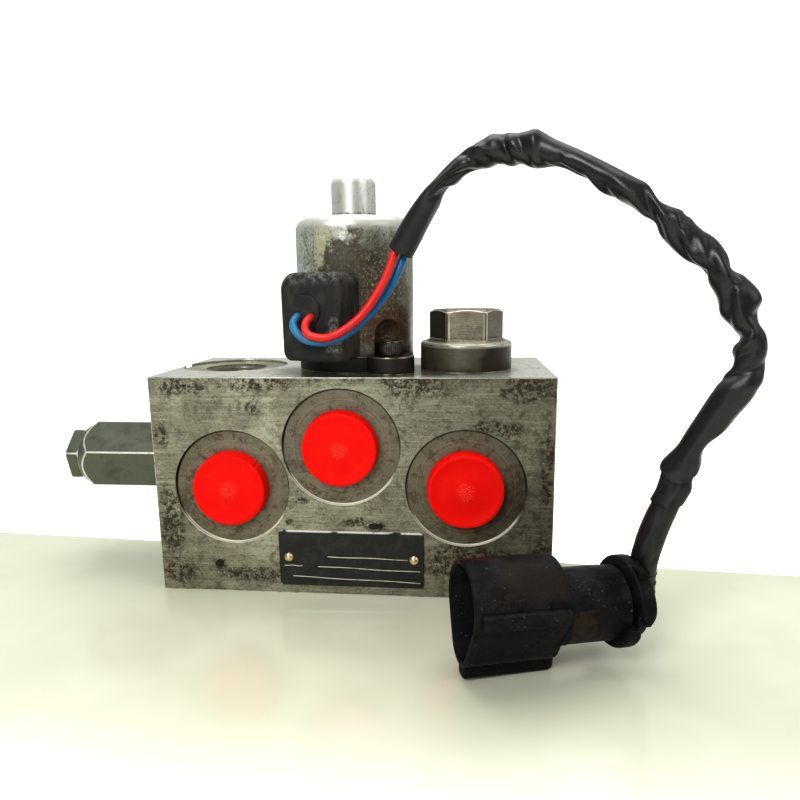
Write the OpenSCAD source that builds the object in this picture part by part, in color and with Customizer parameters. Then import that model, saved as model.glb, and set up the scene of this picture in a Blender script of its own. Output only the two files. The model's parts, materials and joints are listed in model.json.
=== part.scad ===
// Hydraulic monoblock valve: a steel block with three capped front ports, one
// open top port, a wet-armature solenoid over a spool, a screw-in relief valve
// on the left, a spring-loaded check valve under the right-hand plug, and a
// two-wire harness in a soft sleeve that ends in a round-bodied connector.
//
// Frame: origin at the centre of the block's bottom face, X to the right,
// Y towards the back, Z up. The front ports face -Y. Millimetres.

/* [Block] */
// Length of the block, left to right
block_l = 160; // [158:1:165]
// Depth of the block, front to back
block_d = 68; // [67:1:70]
// Height of the block
block_h = 90; // [90:1:93]

/* [Ports] */
// Diameter of the machined face round each front port
spot_d = 47; // [45:0.5:47.5]
// Depth of that machined face
spot_depth = 1.2; // [0.8:0.1:1.6]
// Diameter of the seal recess in each port
seal_d = 29; // [28:0.5:29.5]
// Depth of the seal recess
seal_depth = 3.2; // [2.8:0.1:3.6]
// Diameter of the threaded wall in each port
thread_d = 24.2; // [23:0.1:24.4]
// Length of the threaded wall
thread_len = 16; // [15:0.5:16]
// Diameter of the red cap's flange
cap_d = 30.2; // [30:0.1:31]
// Thickness of the red cap's flange
cap_t = 5.2; // [4:0.1:6]

/* [Solenoid] */
// Diameter of the coil housing
can_d = 49; // [49:0.5:50]
// Height of the housing above the flange
can_h = 55; // [54:1:58]
// Thickness of the base flange
flange_t = 7; // [6:0.5:8]
// Diameter of the tube that stands out of the housing
tube_d = 18.5; // [18.3:0.1:18.6]
// Stroke of the armature and the spool
stroke = 3.5; // [2:0.5:3.5]

/* [Top plug] */
// Diameter of the plug's collar
collar_d = 38; // [36:0.5:39]
// Height of the collar
collar_h = 11.5; // [10:0.5:13]
// Size across the flats of the plug's hexagon
plug_af = 27; // [25:0.5:27]
// Height of the plug's hexagon
plug_hex_h = 13; // [11:0.5:15]

/* [Relief valve] */
// Size across the flats of the large hexagon
relief_af = 29; // [28:0.5:30]
// Length of the large hexagon
relief_len = 41.5; // [40:0.5:42]
// Size across the flats of the cap nut
nut_af = 22; // [21:0.5:22]

/* [Harness] */
// Diameter of each wire
wire_d = 2.8; // [2.4:0.1:2.8]
// Diameter of the soft sleeve
sleeve_d = 10.6; // [10:0.1:10.8]

/* [Connector] */
// Width of the hood
hood_w = 27; // [25:0.5:28]
// Height of the hood
hood_h = 34.5; // [33:0.5:35]
// Length of the hood
hood_len = 29.5; // [28:0.5:31]
// Diameter of the round body behind the hood
barrel_d = 24; // [23:0.5:25]

/* [Hidden] */
$fn = 48;
eps = 0.05;          // radial clearance between neighbouring pieces
cut = 1;             // how far a cutter runs past the face it opens
front = -block_d / 2;
top = block_h;

// Front ports: [x, z]
port_left = [-48, 45];
port_middle = [-3, 62];
port_right = [46, 46];
drill_d = 10;        // drilling behind a port
wall_front = front + spot_depth + seal_depth;
wall_back = wall_front + thread_len;

// Top port: [x, y]
tank_port = [-57.4, 5.6];
tank_spot_d = 45.6;
tank_wall_top = top - spot_depth - 1.2;
tank_wall_bottom = tank_wall_top - thread_len;
tank_drill = [-64, 4];

// Solenoid valve
sol = [-1, 0];
cavity_r = 11;
cavity_bottom = 30;
cage_top = 86;
spool_r = 6;
spool_bottom = 46;
spool_top = 82;
pole_r = 7;
pole_top = top + 24;
can_bottom = top + flange_t;
can_top = can_bottom + can_h;
can_wall = 2;
tube_top = can_top + 16.5;
ear = [17, -20];     // flange screw, measured from the solenoid's axis
ear_r = 9.3;
screw_r = 3;
screw_head_r = 4.9;
screw_head_h = 6;
screw_len = 18;
dent_r = 6.6;        // dent in the housing over each flange screw
dent_h = 8;

// Check valve
plug = [46, -4];
plug_shank_r = 13;
plug_shank_bottom = top - 14;
seat_z = 45;
check_r = 8;
throat_r = 5;
check_feed = [46, 52]; // the right-hand port enters above the seat
guide_z = seat_z + 13;
check_floor = guide_z + 2;

// Relief valve, along X at this height
relief_z = 49;
relief_x = -block_l / 2;
shank_r = 11;
shank_end = -62;
hex_end = relief_x - relief_len;
nut_start = hex_end - 5.5;
nut_end = nut_start - 6;
big_roll = 17;
small_roll = 14.5;
chamber_r = 7;
adjuster_r = 4;
gallery_z = 38;

// Terminal boot on the side of the housing
boot_turn = -20;
boot_w = 26;
boot_reach = 36;
boot_bottom = can_bottom + 0.3;
boot_top = boot_bottom + 33;
grommet_r = 6.5;
grommet_at = [-1.7, 115.2];
grommet_t = 0.9;

// Nameplate on the front face
plate_w = 59;
plate_low = 4;
plate_high = 27.5;
plate_t = 0.8;
rivet_x = 25.6;
rivet_z = 16;

// Connector: where its mouth stands, and how it is turned and tipped
conn_at = [44.5, -87];
conn_turn = 18;
conn_tip = 2.5;
conn_z = 21.5;
conn_pivot = 30;     // the guide rail rests on the ground here
ring_start = 52;
ring_end = 58;
ring_r = 14.6;
elbow_bend = 5.5;
elbow_start = 56;
elbow_end = elbow_start + elbow_bend;
sleeve_notch_r = sleeve_d / 2 + 1;
elbow_r = 4.4;

// Routes of the harness, start to end
wire_red_route = [
    [-12.0, -32.6, 113.0], [-12.9, -35.6, 112.8], [-14.0, -38.4, 110.6], [-13.2, -40.4, 107.6],
    [-10.2, -41.4, 106.2], [-5.4, -42.0, 105.9], [0.0, -42.0, 108.0], [6.0, -41.0, 112.3],
    [10.6, -39.0, 117.7], [14.4, -36.0, 124.1], [17.2, -33.0, 130.4], [19.0, -30.4, 136.4],
    [20.8, -29.6, 141.0]
];
wire_blue_route = [
    [-17.4, -30.6, 113.4], [-18.5, -33.6, 113.0], [-19.2, -36.4, 110.6], [-17.6, -38.6, 107.8],
    [-14.4, -39.2, 105.1], [-10.0, -39.2, 104.0], [-5.0, -39.0, 104.2], [1.0, -38.8, 106.6],
    [6.4, -37.6, 110.6], [10.8, -35.8, 115.0], [14.8, -33.4, 120.0], [18.2, -31.2, 125.4],
    [20.6, -29.2, 130.8], [22.4, -27.8, 135.6], [23.8, -28.2, 140.4]
];
sleeve_route = [
    [21, -28.5, 137], [27, -31, 148], [34, -35, 157], [42, -39, 164], [51, -43, 168.5],
    [60, -47, 169], [69, -52, 167], [78, -56, 163], [87, -60, 158], [96, -64, 151.5],
    [104, -68, 143.5], [111, -71, 136], [117, -75, 129], [123, -77, 121], [126, -79, 113],
    [127, -79, 104], [125, -78, 95.5], [121, -76, 86], [116, -74, 75], [112, -72, 65],
    [110, -71, 57], [107.2, -70, 48], [105, -68.3, 38], [104.3, -67.6, 31], [104.2, -67.6, 25]
];

// ---- Helpers ----

// A cylinder along X from x1 to x2
module rod_x(r, x1, x2, fn = 48)
    translate([x1, 0, 0]) rotate([0, 90, 0]) cylinder(r = r, h = x2 - x1, $fn = fn);

// A cylinder along Y from y1 to y2, centred on [x, z]
module rod_y(at, r, y1, y2)
    translate([at[0], y1, at[1]]) rotate([-90, 0, 0]) cylinder(r = r, h = y2 - y1);

// A cylinder along Z from z1 to z2, centred on [x, y]
module rod_z(at, r, z1, z2)
    translate([at[0], at[1], z1]) cylinder(r = r, h = z2 - z1);

// A ring of round section round the Z axis
module o_ring(major, minor)
    rotate_extrude() translate([major, 0]) circle(r = minor, $fn = 24);

// Radius of the corners of a hexagon
function corner(af) = af / sqrt(3);

function unit(v) = v / norm(v);
function heading(p, i) =
    unit(p[min(i + 1, len(p) - 1)] - p[max(i - 1, 0)]);
function carried(side, along) = unit(side - (side * along) * along);
function first_side(along) =
    unit(cross(along, abs(along[2]) < 0.9 ? [0, 0, 1] : [1, 0, 0]));

// A tube of radius r swept along the points p, with n flat sides
module swept_tube(p, r, n) {
    m = len(p);
    sides = [for (i = 0, s = first_side(heading(p, 0)); i < m;
                  i = i + 1, s = carried(s, heading(p, min(i, m - 1)))) s];
    pts = [for (i = [0 : m - 1], k = [0 : n - 1])
        let (a = 360 * k / n, t = cross(heading(p, i), sides[i]))
        p[i] + r * (cos(a) * sides[i] + sin(a) * t)];
    walls = [for (i = [0 : m - 2], k = [0 : n - 1], half = [0, 1])
        let (a = i * n + k, b = i * n + (k + 1) % n, c = b + n, d = a + n)
        half == 0 ? [a, d, c] : [a, c, b]];
    start = [[for (k = [0 : n - 1]) k]];
    end = [[for (k = [n - 1 : -1 : 0]) (m - 1) * n + k]];
    polyhedron(points = pts, faces = concat(walls, start, end), convexity = 10);
}

// A compression spring along Z from z = 0, with a closed turn at each end
module coil_spring(mean_r, wire_r, length, turns) {
    steps = 12;
    last = (turns + 2) * steps;
    rise = length - 4 * wire_r - 2 * wire_r;
    helix = [for (i = [0 : last])
        let (turn = i / steps,
             open = min(max(turn - 1, 0), turns) / turns,
             closed = min(turn, 1) + max(turn - turns - 1, 0))
        [mean_r * cos(30 * i), mean_r * sin(30 * i),
         wire_r + closed * 2 * wire_r * 0.99 + open * rise * 0.99]];
    swept_tube(helix, wire_r, 6);
}

// ---- Block ----

// One front port, cut into the block
module front_port(at) {
    rod_y(at, spot_d / 2, front - cut, front + spot_depth);
    rod_y(at, seal_d / 2, front, wall_front);
    rod_y(at, thread_d / 2, front, wall_back);
}

module valve_block() {
    color([0.52, 0.50, 0.42]) difference() {
        translate([-block_l / 2, front, 0]) cube([block_l, block_d, block_h]);
        front_port(port_left);
        front_port(port_middle);
        front_port(port_right);
        // drillings from the ports to the valves
        rod_y(port_left, drill_d / 2, wall_back - cut, 5);
        rod_y(port_middle, drill_d / 2, wall_back - cut, -5);
        rod_y(check_feed, 4, wall_back - cut, plug[1]);
        // top port
        rod_z(tank_port, tank_spot_d / 2, top - spot_depth, top + cut);
        rod_z(tank_port, thread_d / 2 + 1.1, tank_wall_top, top);
        rod_z(tank_port, thread_d / 2, tank_wall_bottom, top);
        rod_z(tank_drill, 4, 58, tank_wall_bottom + cut);
        // solenoid cavity and its two screws
        rod_z(sol, cavity_r, cavity_bottom, top + cut);
        for (s = [1, -1])
            rod_z(sol + s * ear, screw_r + eps, top - screw_len + flange_t - 2, top + cut);
        // check valve
        rod_z(plug, plug_shank_r + eps, plug_shank_bottom - 2, top + cut);
        rod_z(plug, plug_shank_r + 2.5, top - 2, top + cut);
        rod_z(plug, check_r, seat_z, plug_shank_bottom);
        rod_z(plug, throat_r, gallery_z - 5.5, seat_z + cut);
        // relief valve
        translate([0, 0, relief_z]) {
            rod_x(shank_r + eps, relief_x - cut, shank_end);
            rod_x(shank_r + 3, relief_x - cut, relief_x + 2.4);
            rod_x(8 + eps, shank_end - cut, -56);
            rod_x(6, -57, -40);
        }
        // gallery with its plug on the right-hand end
        translate([0, 0, gallery_z]) {
            rod_x(4, -46, block_l / 2);
            rod_x(6 + eps, block_l / 2 - 9, block_l / 2 + cut);
        }
        // nameplate rivets
        for (s = [1, -1]) rod_y([s * rivet_x, rivet_z], 1.25, front - cut, front + 5);
        // four tapped holes for fastening the block down
        for (x = [-60, 60], y = [-22, 22]) rod_z([x, y], 3.4, -cut, 16);
    }
}

module port_cap(at) {
    skirt_end = wall_front - 0.4;
    floor_y = front + spot_depth;
    color([0.95, 0.08, 0.04]) difference() {
        union() {
            rod_y(at, cap_d / 2, floor_y - cap_t, floor_y);
            rod_y(at, seal_d / 2 - eps, floor_y - 0.1, skirt_end);
        }
        rod_y(at, seal_d / 2 - 2, floor_y - cap_t + 2, skirt_end + cut);
    }
}

module nameplate() {
    color([0.08, 0.08, 0.08]) difference() {
        translate([-plate_w / 2, front - plate_t, plate_low])
            cube([plate_w, plate_t, plate_high - plate_low]);
        for (s = [1, -1]) rod_y([s * rivet_x, rivet_z], 1.25, front - 2, front + cut);
    }
}

module nameplate_rivets() {
    head_h = 1.1;
    head_r = 1.9;
    ball_r = (head_r * head_r + head_h * head_h) / (2 * head_h);
    face = front - plate_t;
    color([0.80, 0.68, 0.42]) for (s = [1, -1]) {
        rod_y([s * rivet_x, rivet_z], 1.2, face, front + 4.5);
        translate([s * rivet_x, face, rivet_z]) intersection() {
            translate([0, ball_r - head_h, 0]) sphere(r = ball_r, $fn = 32);
            rod_y([0, 0], head_r, -2, 0);
        }
    }
}

module gallery_plug() {
    end = block_l / 2;
    color([0.30, 0.30, 0.28]) translate([0, 0, gallery_z]) difference() {
        rod_x(6, end - 8.5, end - 0.5);
        rod_x(corner(5), end - 4.5, end + cut, fn = 6);
    }
}

// ---- Solenoid valve ----

module base_flange() {
    span = norm(ear);
    color([0.42, 0.40, 0.34]) difference() {
        translate([sol[0], sol[1], top]) linear_extrude(flange_t) {
            circle(d = can_d);
            for (s = [1, -1]) {
                translate(s * ear) circle(r = ear_r);
                rotate(atan2(s * ear[1], s * ear[0]))
                    translate([0, -ear_r]) square([span, 2 * ear_r]);
            }
        }
        rod_z(sol, tube_d / 2 + eps, top - cut, can_bottom + cut);
        for (s = [1, -1]) rod_z(sol + s * ear, screw_r + 0.3, top - cut, can_bottom + cut);
    }
}

module flange_screws() {
    tip = can_bottom - screw_len;
    color([0.16, 0.15, 0.13]) for (s = [1, -1])
        translate(concat(sol + s * ear, [0])) difference() {
            union() {
                rod_z([0, 0], screw_r, tip, can_bottom);
                rod_z([0, 0], screw_head_r, can_bottom, can_bottom + screw_head_h);
            }
            translate([0, 0, can_bottom + 2.5])
                cylinder(r = corner(5), h = screw_head_h, $fn = 6);
        }
}

// The outside of the housing, rounded at its top edge
module can_form(r, h, edge) rotate_extrude() {
    square([r - edge, h]);
    square([r, h - edge]);
    translate([r - edge, h - edge]) circle(r = edge);
}

// The space over a flange screw, or with a bigger radius the wall round it
module dent(r) for (s = [1, -1]) translate(s * ear) {
    translate([0, 0, -cut]) cylinder(r = r, h = dent_h + cut);
    translate([0, 0, dent_h]) sphere(r = r);
}

module solenoid_can() {
    color([0.66, 0.67, 0.62]) translate([sol[0], sol[1], can_bottom]) difference() {
        union() {
            difference() {
                can_form(can_d / 2, can_h, 5);
                translate([0, 0, -cut])
                    cylinder(r = can_d / 2 - can_wall, h = can_h - 2.5 + cut);
            }
            intersection() {
                can_form(can_d / 2, can_h, 5);
                dent(dent_r + 1.2);
            }
        }
        dent(dent_r);
        cylinder(r = tube_d / 2 + eps, h = can_h + cut);
    }
}

module coil_bobbin() {
    low = can_bottom + 2;
    high = can_top - 4;
    color([0.12, 0.12, 0.12]) difference() {
        union() {
            rod_z(sol, 11, low, high);
            rod_z(sol, 18.2, low, low + 2);
            rod_z(sol, 18.2, high - 2, high);
        }
        rod_z(sol, tube_d / 2 + eps, low - cut, high + cut);
    }
}

module coil_winding() {
    color([0.72, 0.36, 0.16]) difference() {
        rod_z(sol, 17.6, can_bottom + 4 + eps, can_top - 6 - eps);
        rod_z(sol, 11 + eps, can_bottom, can_top);
    }
}

module core_tube() {
    h = tube_top - top;
    color([0.74, 0.75, 0.72]) translate([sol[0], sol[1], top]) difference() {
        can_form(tube_d / 2, h, 3);
        translate([0, 0, -cut]) cylinder(r = pole_r, h = h - 3 + cut);
    }
}

module pole_piece() {
    color([0.50, 0.50, 0.48]) difference() {
        union() {
            rod_z(sol, cavity_r - eps, cage_top, top);
            rod_z(sol, pole_r - eps, top, pole_top);
        }
        rod_z(sol, 2.05, cage_top - cut, pole_top + cut);
    }
}

module armature() {
    color([0.55, 0.55, 0.53]) rod_z(sol, pole_r - eps, pole_top + stroke + 0.5, pole_top + 44);
}

module push_pin() {
    color([0.70, 0.70, 0.70]) rod_z(sol, 2, spool_top + 0.3, pole_top + stroke + 0.5);
}

module valve_cage() {
    color([0.58, 0.56, 0.50]) difference() {
        rod_z(sol, cavity_r - eps, cavity_bottom, cage_top);
        rod_z(sol, spool_r, cavity_bottom + 3, cage_top + cut);
        // outer grooves: gallery, front port and the two seals
        for (g = [[34, 55, 9.5], [59, 65, 9.5], [56, 58, 9.2], [69, 71, 9.2]])
            difference() {
                rod_z(sol, cavity_r + cut, g[0], g[1]);
                rod_z(sol, g[2], g[0] - cut, g[1] + cut);
            }
        // radial holes, four at each level
        for (hole = [[52, 1.5], [62, 2]], turn = [0, 90])
            translate([sol[0], sol[1], hole[0]]) rotate([0, 0, turn])
                rod_x(hole[1], -cavity_r, cavity_r);
    }
}

module cage_seals() {
    color([0.05, 0.05, 0.05]) for (z = [57, 70])
        translate([sol[0], sol[1], z]) o_ring(10.1, 0.85);
}

module spool() {
    color([0.80, 0.80, 0.78]) difference() {
        rod_z(sol, spool_r - eps, spool_bottom, spool_top);
        difference() {
            rod_z(sol, spool_r + cut, spool_bottom + 8, spool_top - 12);
            rod_z(sol, 3.5, spool_bottom, spool_top);
        }
    }
}

module spool_spring() {
    color([0.60, 0.60, 0.62])
        translate([sol[0], sol[1], cavity_bottom + 3.1])
            coil_spring(4.2, 0.6, spool_bottom - cavity_bottom - 3.3, 4);
}

// ---- Terminal boot ----

// Front outline of the boot: width along X, height along Y, own corner radii
module boot_outline() {
    h = boot_top - boot_bottom;
    big = 6;
    small = 3;
    translate([-boot_w / 2, 0]) {
        translate([small, 0]) square([boot_w - 2 * small, h - small]);
        translate([big, 0]) square([boot_w - big - small, h]);
        translate([0, small]) square([boot_w, h - big - small]);
        for (c = [[small, small], [boot_w - small, small], [boot_w - small, h - small]])
            translate(c) circle(r = small);
        translate([big, h - big]) circle(r = big);
        translate([big, h - big - small]) square([boot_w - big, small]);
    }
}

module on_boot() translate([sol[0], sol[1], 0]) rotate([0, 0, boot_turn]) children();

module terminal_boot() {
    color([0.07, 0.07, 0.07]) difference() {
        on_boot() translate([0, -18, boot_bottom]) rotate([90, 0, 0])
            linear_extrude(boot_reach - 18) boot_outline();
        rod_z(sol, can_d / 2 + eps, boot_bottom - cut, boot_top + cut);
    }
}

module boot_grommet() {
    color([0.10, 0.10, 0.10]) on_boot()
        rod_y(grommet_at, grommet_r, -boot_reach - grommet_t, -boot_reach);
}

// ---- Harness ----

module wire_red() color([0.90, 0.08, 0.06]) swept_tube(wire_red_route, wire_d / 2, 8);

module wire_blue() color([0.05, 0.36, 0.62]) swept_tube(wire_blue_route, wire_d / 2, 8);

module harness_sleeve() color([0.05, 0.05, 0.06]) swept_tube(sleeve_route, sleeve_d / 2, 12);

// ---- Check valve ----

// A hexagon of height h whose corners are turned down and chamfered on top
module turned_hex(af, h, turned_r) intersection() {
    cylinder(r = corner(af), h = h, $fn = 6);
    rotate_extrude() polygon([[0, 0], [turned_r, 0], [turned_r, h - 1], [turned_r - 2, h], [0, h]]);
}

module top_plug() {
    color([0.36, 0.33, 0.28]) translate([plug[0], plug[1], 0]) difference() {
        union() {
            translate([0, 0, top]) rotate_extrude() polygon([
                [0, 0], [collar_d / 2, 0], [collar_d / 2, collar_h - 0.8],
                [collar_d / 2 - 0.8, collar_h], [0, collar_h]]);
            translate([0, 0, top + collar_h]) cylinder(r1 = 16.6, r2 = 14.6, h = 1.6);
            translate([0, 0, top + collar_h]) turned_hex(plug_af, plug_hex_h, 15.2);
            rod_z([0, 0], plug_shank_r, plug_shank_bottom, top);
        }
        rod_z([0, 0], 5.5, plug_shank_bottom - cut, top - 4);
    }
}

module plug_seal() {
    color([0.05, 0.05, 0.05]) translate([plug[0], plug[1], top - 1]) o_ring(14.2, 1);
}

module check_poppet() {
    color([0.68, 0.67, 0.62]) translate([plug[0], plug[1], 0]) difference() {
        union() {
            translate([0, 0, seat_z - 3])
                cylinder(r1 = throat_r - 3 - eps, r2 = throat_r + 2 - eps, h = 5);
            rod_z([0, 0], throat_r + 2 - eps, seat_z + 2, seat_z + 3);
            rod_z([0, 0], 4, seat_z + 3, guide_z);
            rod_z([0, 0], check_r - eps, guide_z, guide_z + 10);
        }
        rod_z([0, 0], 5.5, check_floor, guide_z + 10 + cut);
    }
}

module check_spring() {
    color([0.60, 0.60, 0.62]) translate([plug[0], plug[1], check_floor + 0.1])
        coil_spring(4.2, 0.6, top - 4 - check_floor - 0.2, 6);
}

// ---- Relief valve ----

// Turned outline of the screw-in body: [x, radius], with the shoulder down to the nut
relief_profile = [
    [relief_x, 17], [hex_end + 1.2, 17], [hex_end, 16], [nut_start, 12.6], [nut_start, 0], [relief_x, 0]
];

// Turns an outline of [x, radius] points round the X axis
module turned_x(profile) rotate([0, 90, 0]) rotate([0, 0, 180])
    rotate_extrude() polygon([for (p = profile) [p[1], p[0]]]);

module hex_x(af, x1, x2, roll) translate([x1, 0, 0]) rotate([90 - roll, 0, 0])
    rotate([0, 90, 0]) cylinder(r = corner(af), h = x2 - x1, $fn = 6);

module relief_body() {
    color([0.34, 0.34, 0.29]) translate([0, 0, relief_z]) difference() {
        union() {
            intersection() {
                hex_x(relief_af, nut_start - cut, relief_x, big_roll);
                turned_x(relief_profile);
            }
            rod_x(shank_r, relief_x - cut, shank_end - 8);
            rod_x(9.5, relief_x, shank_end);
        }
        rod_x(chamber_r, hex_end + 10, shank_end + cut);
        rod_x(adjuster_r + eps, nut_start - cut, hex_end + 11);
        // return holes into the groove
        for (turn = [45, 135]) rotate([turn, 0, 0])
            translate([shank_end - 2.5, 0, -12]) cylinder(r = 1.5, h = 24);
    }
}

module relief_seal() {
    color([0.05, 0.05, 0.05]) translate([relief_x + 1.2, 0, relief_z])
        rotate([0, 90, 0]) o_ring(12.5, 1.15);
}

module cap_nut() {
    color([0.38, 0.38, 0.33]) translate([0, 0, relief_z]) difference() {
        intersection() {
            hex_x(nut_af, nut_end, nut_start, small_roll);
            turned_x([[nut_start, 0], [nut_start, 13], [nut_end + 0.8, 13], [nut_end, 12], [nut_end, 0]]);
        }
        rod_x(adjuster_r + 0.3, nut_start - 4.6, nut_start + cut);
    }
}

module adjusting_screw() {
    outer = nut_start - 3.2;
    color([0.45, 0.44, 0.40]) translate([0, 0, relief_z]) difference() {
        rod_x(adjuster_r, outer, -100);
        rod_x(corner(4), outer - cut, outer + 3, fn = 6);
    }
}

module spring_seat() {
    color([0.62, 0.61, 0.58]) translate([0, 0, relief_z]) {
        rod_x(chamber_r - eps, -100, -96);
        rod_x(3.4, -96, -92);
    }
}

module relief_spring() {
    color([0.60, 0.60, 0.62]) translate([-95.9, 0, relief_z]) rotate([0, 90, 0])
        coil_spring(5, 0.8, 27.8, 6);
}

module relief_poppet() {
    seat_face = shank_end;
    color([0.72, 0.72, 0.70]) translate([0, 0, relief_z]) {
        translate([seat_face + 2, 0, 0]) rotate([0, -90, 0])
            cylinder(r1 = 0.95, r2 = 4.45, h = 3.5);
        rod_x(4.45, -66, seat_face - 1.5);
        rod_x(chamber_r - eps, -68, -66);
    }
}

module relief_seat() {
    color([0.70, 0.69, 0.64]) translate([0, 0, relief_z]) difference() {
        rod_x(8, shank_end, -56);
        rod_x(3, shank_end - cut, -55);
    }
}

// ---- Connector ----

// Places the connector: X runs back from its mouth, Z = 0 is the ground under the rail
module on_connector()
    translate([conn_at[0], conn_at[1], 0]) rotate([0, 0, conn_turn])
        translate([conn_pivot, 0, 0]) rotate([0, conn_tip, 0]) translate([-conn_pivot, 0, 0])
            children();

// A slot-shaped bar along X, w wide and h high, centred on the connector's axis
module oval_bar(w, h, x1, x2) translate([x1, 0, conn_z]) rotate([90, 0, 90])
    linear_extrude(x2 - x1) {
        square([w, h - w], center = true);
        for (s = [1, -1]) translate([0, s * (h - w) / 2]) circle(d = w);
    }

module connector_housing() {
    wall = 2;
    color([0.07, 0.07, 0.07]) on_connector() difference() {
        union() {
            oval_bar(hood_w, hood_h, 0, hood_len);
            translate([0, 0, conn_z]) rod_x(barrel_d / 2, hood_len - cut, ring_start);
            // ledges on both sides and the guide rail underneath
            translate([1.5, -hood_w / 2 - 2.6, conn_z - 1.5])
                cube([hood_len - 1.5, hood_w + 5.2, 5]);
            translate([1, -2.6, 3.2]) cube([hood_len - 0.5, 5.2, 4]);
            translate([1, 0, 3.2]) rotate([90, 0, 0]) rotate([0, 90, 0])
                linear_extrude(hood_len - 0.5) intersection() {
                    circle(r = 3.2);
                    translate([-2.6, -4]) square([5.2, 8]);
                }
        }
        oval_bar(hood_w - 2 * wall, hood_h - 2 * wall, -cut, 24);
        translate([0, 0, conn_z]) {
            rod_x(9, 34, ring_start + cut);
            for (z = [-4, 4]) translate([0, 0, z]) rod_x(1.2 + eps, 23, 35);
        }
    }
}

module connector_terminals() {
    color([0.75, 0.70, 0.50]) on_connector() translate([0, 0, conn_z])
        for (z = [-4, 4]) translate([0, 0, z]) rod_x(1.2, 13, 46);
}

module rear_cover() {
    color([0.09, 0.09, 0.09]) on_connector() translate([0, 0, conn_z]) difference() {
        rod_x(ring_r, ring_start, ring_end);
        rod_x(9, ring_start - cut, ring_end + cut);
        // gaps between the two clamp halves
        for (side = [-111, 69]) rotate([side, 0, 0])
            translate([ring_start - cut, -0.7, ring_r - 2.4]) cube([ring_end, 1.4, 5]);
        // notch that the sleeve rises through
        translate([elbow_end, 0, 0]) cylinder(r = sleeve_notch_r, h = ring_r + cut);
    }
}

module wire_seal() {
    color([0.35, 0.16, 0.12]) on_connector() translate([0, 0, conn_z]) difference() {
        rod_x(9 - eps, 47, 56);
        rod_x(6, 55, 57);
    }
}

module connector_elbow() {
    color([0.08, 0.08, 0.08]) on_connector() translate([0, 0, conn_z]) {
        rod_x(9 - eps, elbow_start, ring_end + 0.4);
        translate([elbow_start, 0, elbow_bend]) rotate([90, 0, 0])
            rotate([0, 0, -90]) rotate_extrude(angle = 90)
                translate([elbow_bend, 0]) circle(r = elbow_r, $fn = 32);
    }
}

valve_block();
port_cap(port_left);  // cap_left
port_cap(port_middle);  // cap_middle
port_cap(port_right);  // cap_right
nameplate();
nameplate_rivets();
base_flange();
flange_screws();
solenoid_can();
coil_bobbin();
coil_winding();
core_tube();
pole_piece();
armature();
push_pin();
valve_cage();
cage_seals();
spool();
spool_spring();
terminal_boot();
boot_grommet();
wire_red();
wire_blue();
harness_sleeve();
top_plug();
plug_seal();
check_poppet();
check_spring();
relief_body();
relief_seal();
cap_nut();
adjusting_screw();
spring_seat();
relief_spring();
relief_poppet();
relief_seat();
gallery_plug();
connector_housing();
connector_terminals();
rear_cover();
wire_seal();
connector_elbow();
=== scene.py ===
"""The looks of the hydraulic monoblock valve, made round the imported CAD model.

Everything is in metres, in the CAD model's own frame: X to the right, Y back, Z up.
"""
import json
import math
import random

import bmesh
import bpy
import numpy as np
from mathutils import Matrix, Vector

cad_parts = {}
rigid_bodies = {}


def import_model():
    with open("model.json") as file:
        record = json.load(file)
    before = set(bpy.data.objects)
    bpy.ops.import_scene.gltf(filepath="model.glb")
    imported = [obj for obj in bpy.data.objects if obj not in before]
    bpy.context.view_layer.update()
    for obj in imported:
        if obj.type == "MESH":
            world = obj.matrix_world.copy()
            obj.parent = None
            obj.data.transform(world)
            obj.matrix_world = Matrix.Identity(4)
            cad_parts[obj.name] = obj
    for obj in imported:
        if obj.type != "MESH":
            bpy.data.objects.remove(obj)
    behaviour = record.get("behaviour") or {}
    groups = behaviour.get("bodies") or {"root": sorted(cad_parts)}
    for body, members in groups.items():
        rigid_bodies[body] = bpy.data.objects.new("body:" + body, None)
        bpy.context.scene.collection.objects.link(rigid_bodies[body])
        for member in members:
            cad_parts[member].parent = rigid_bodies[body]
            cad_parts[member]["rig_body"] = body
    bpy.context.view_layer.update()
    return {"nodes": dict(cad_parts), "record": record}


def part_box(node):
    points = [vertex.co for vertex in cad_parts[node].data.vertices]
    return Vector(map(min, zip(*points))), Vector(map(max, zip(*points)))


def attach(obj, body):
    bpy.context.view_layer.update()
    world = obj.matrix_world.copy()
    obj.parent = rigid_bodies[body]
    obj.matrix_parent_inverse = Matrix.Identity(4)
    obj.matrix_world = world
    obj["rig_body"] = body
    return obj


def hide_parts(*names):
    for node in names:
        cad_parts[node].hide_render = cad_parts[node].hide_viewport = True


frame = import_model()

MM = 0.001
FULL_TURN = 2 * math.pi


# ---- Camera and cords ----

def add_object(name, data):
    made = bpy.data.objects.new(name, data)
    bpy.context.scene.collection.objects.link(made)
    return made


def make_camera():
    """The photograph's view: a little right of the middle, above the block, looking down."""
    yaw, pitch, roll = -0.095, 0.18, -0.012
    data = bpy.data.cameras.new("camera")
    data.sensor_width = 36
    data.lens = 28.18
    camera = add_object("camera", data)
    forward = Vector((math.sin(yaw) * math.cos(pitch), math.cos(yaw) * math.cos(pitch), -math.sin(pitch)))
    right = Vector((math.cos(yaw), -math.sin(yaw), 0))
    up = right.cross(forward)
    turned_right = math.cos(roll) * right + math.sin(roll) * up
    turned_up = math.cos(roll) * up - math.sin(roll) * right
    turned = Matrix((turned_right, turned_up, -forward)).transposed().to_4x4()
    camera.matrix_world = Matrix.Translation((0.0431, -0.2693, 0.1243)) @ turned
    bpy.context.scene.camera = camera


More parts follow.
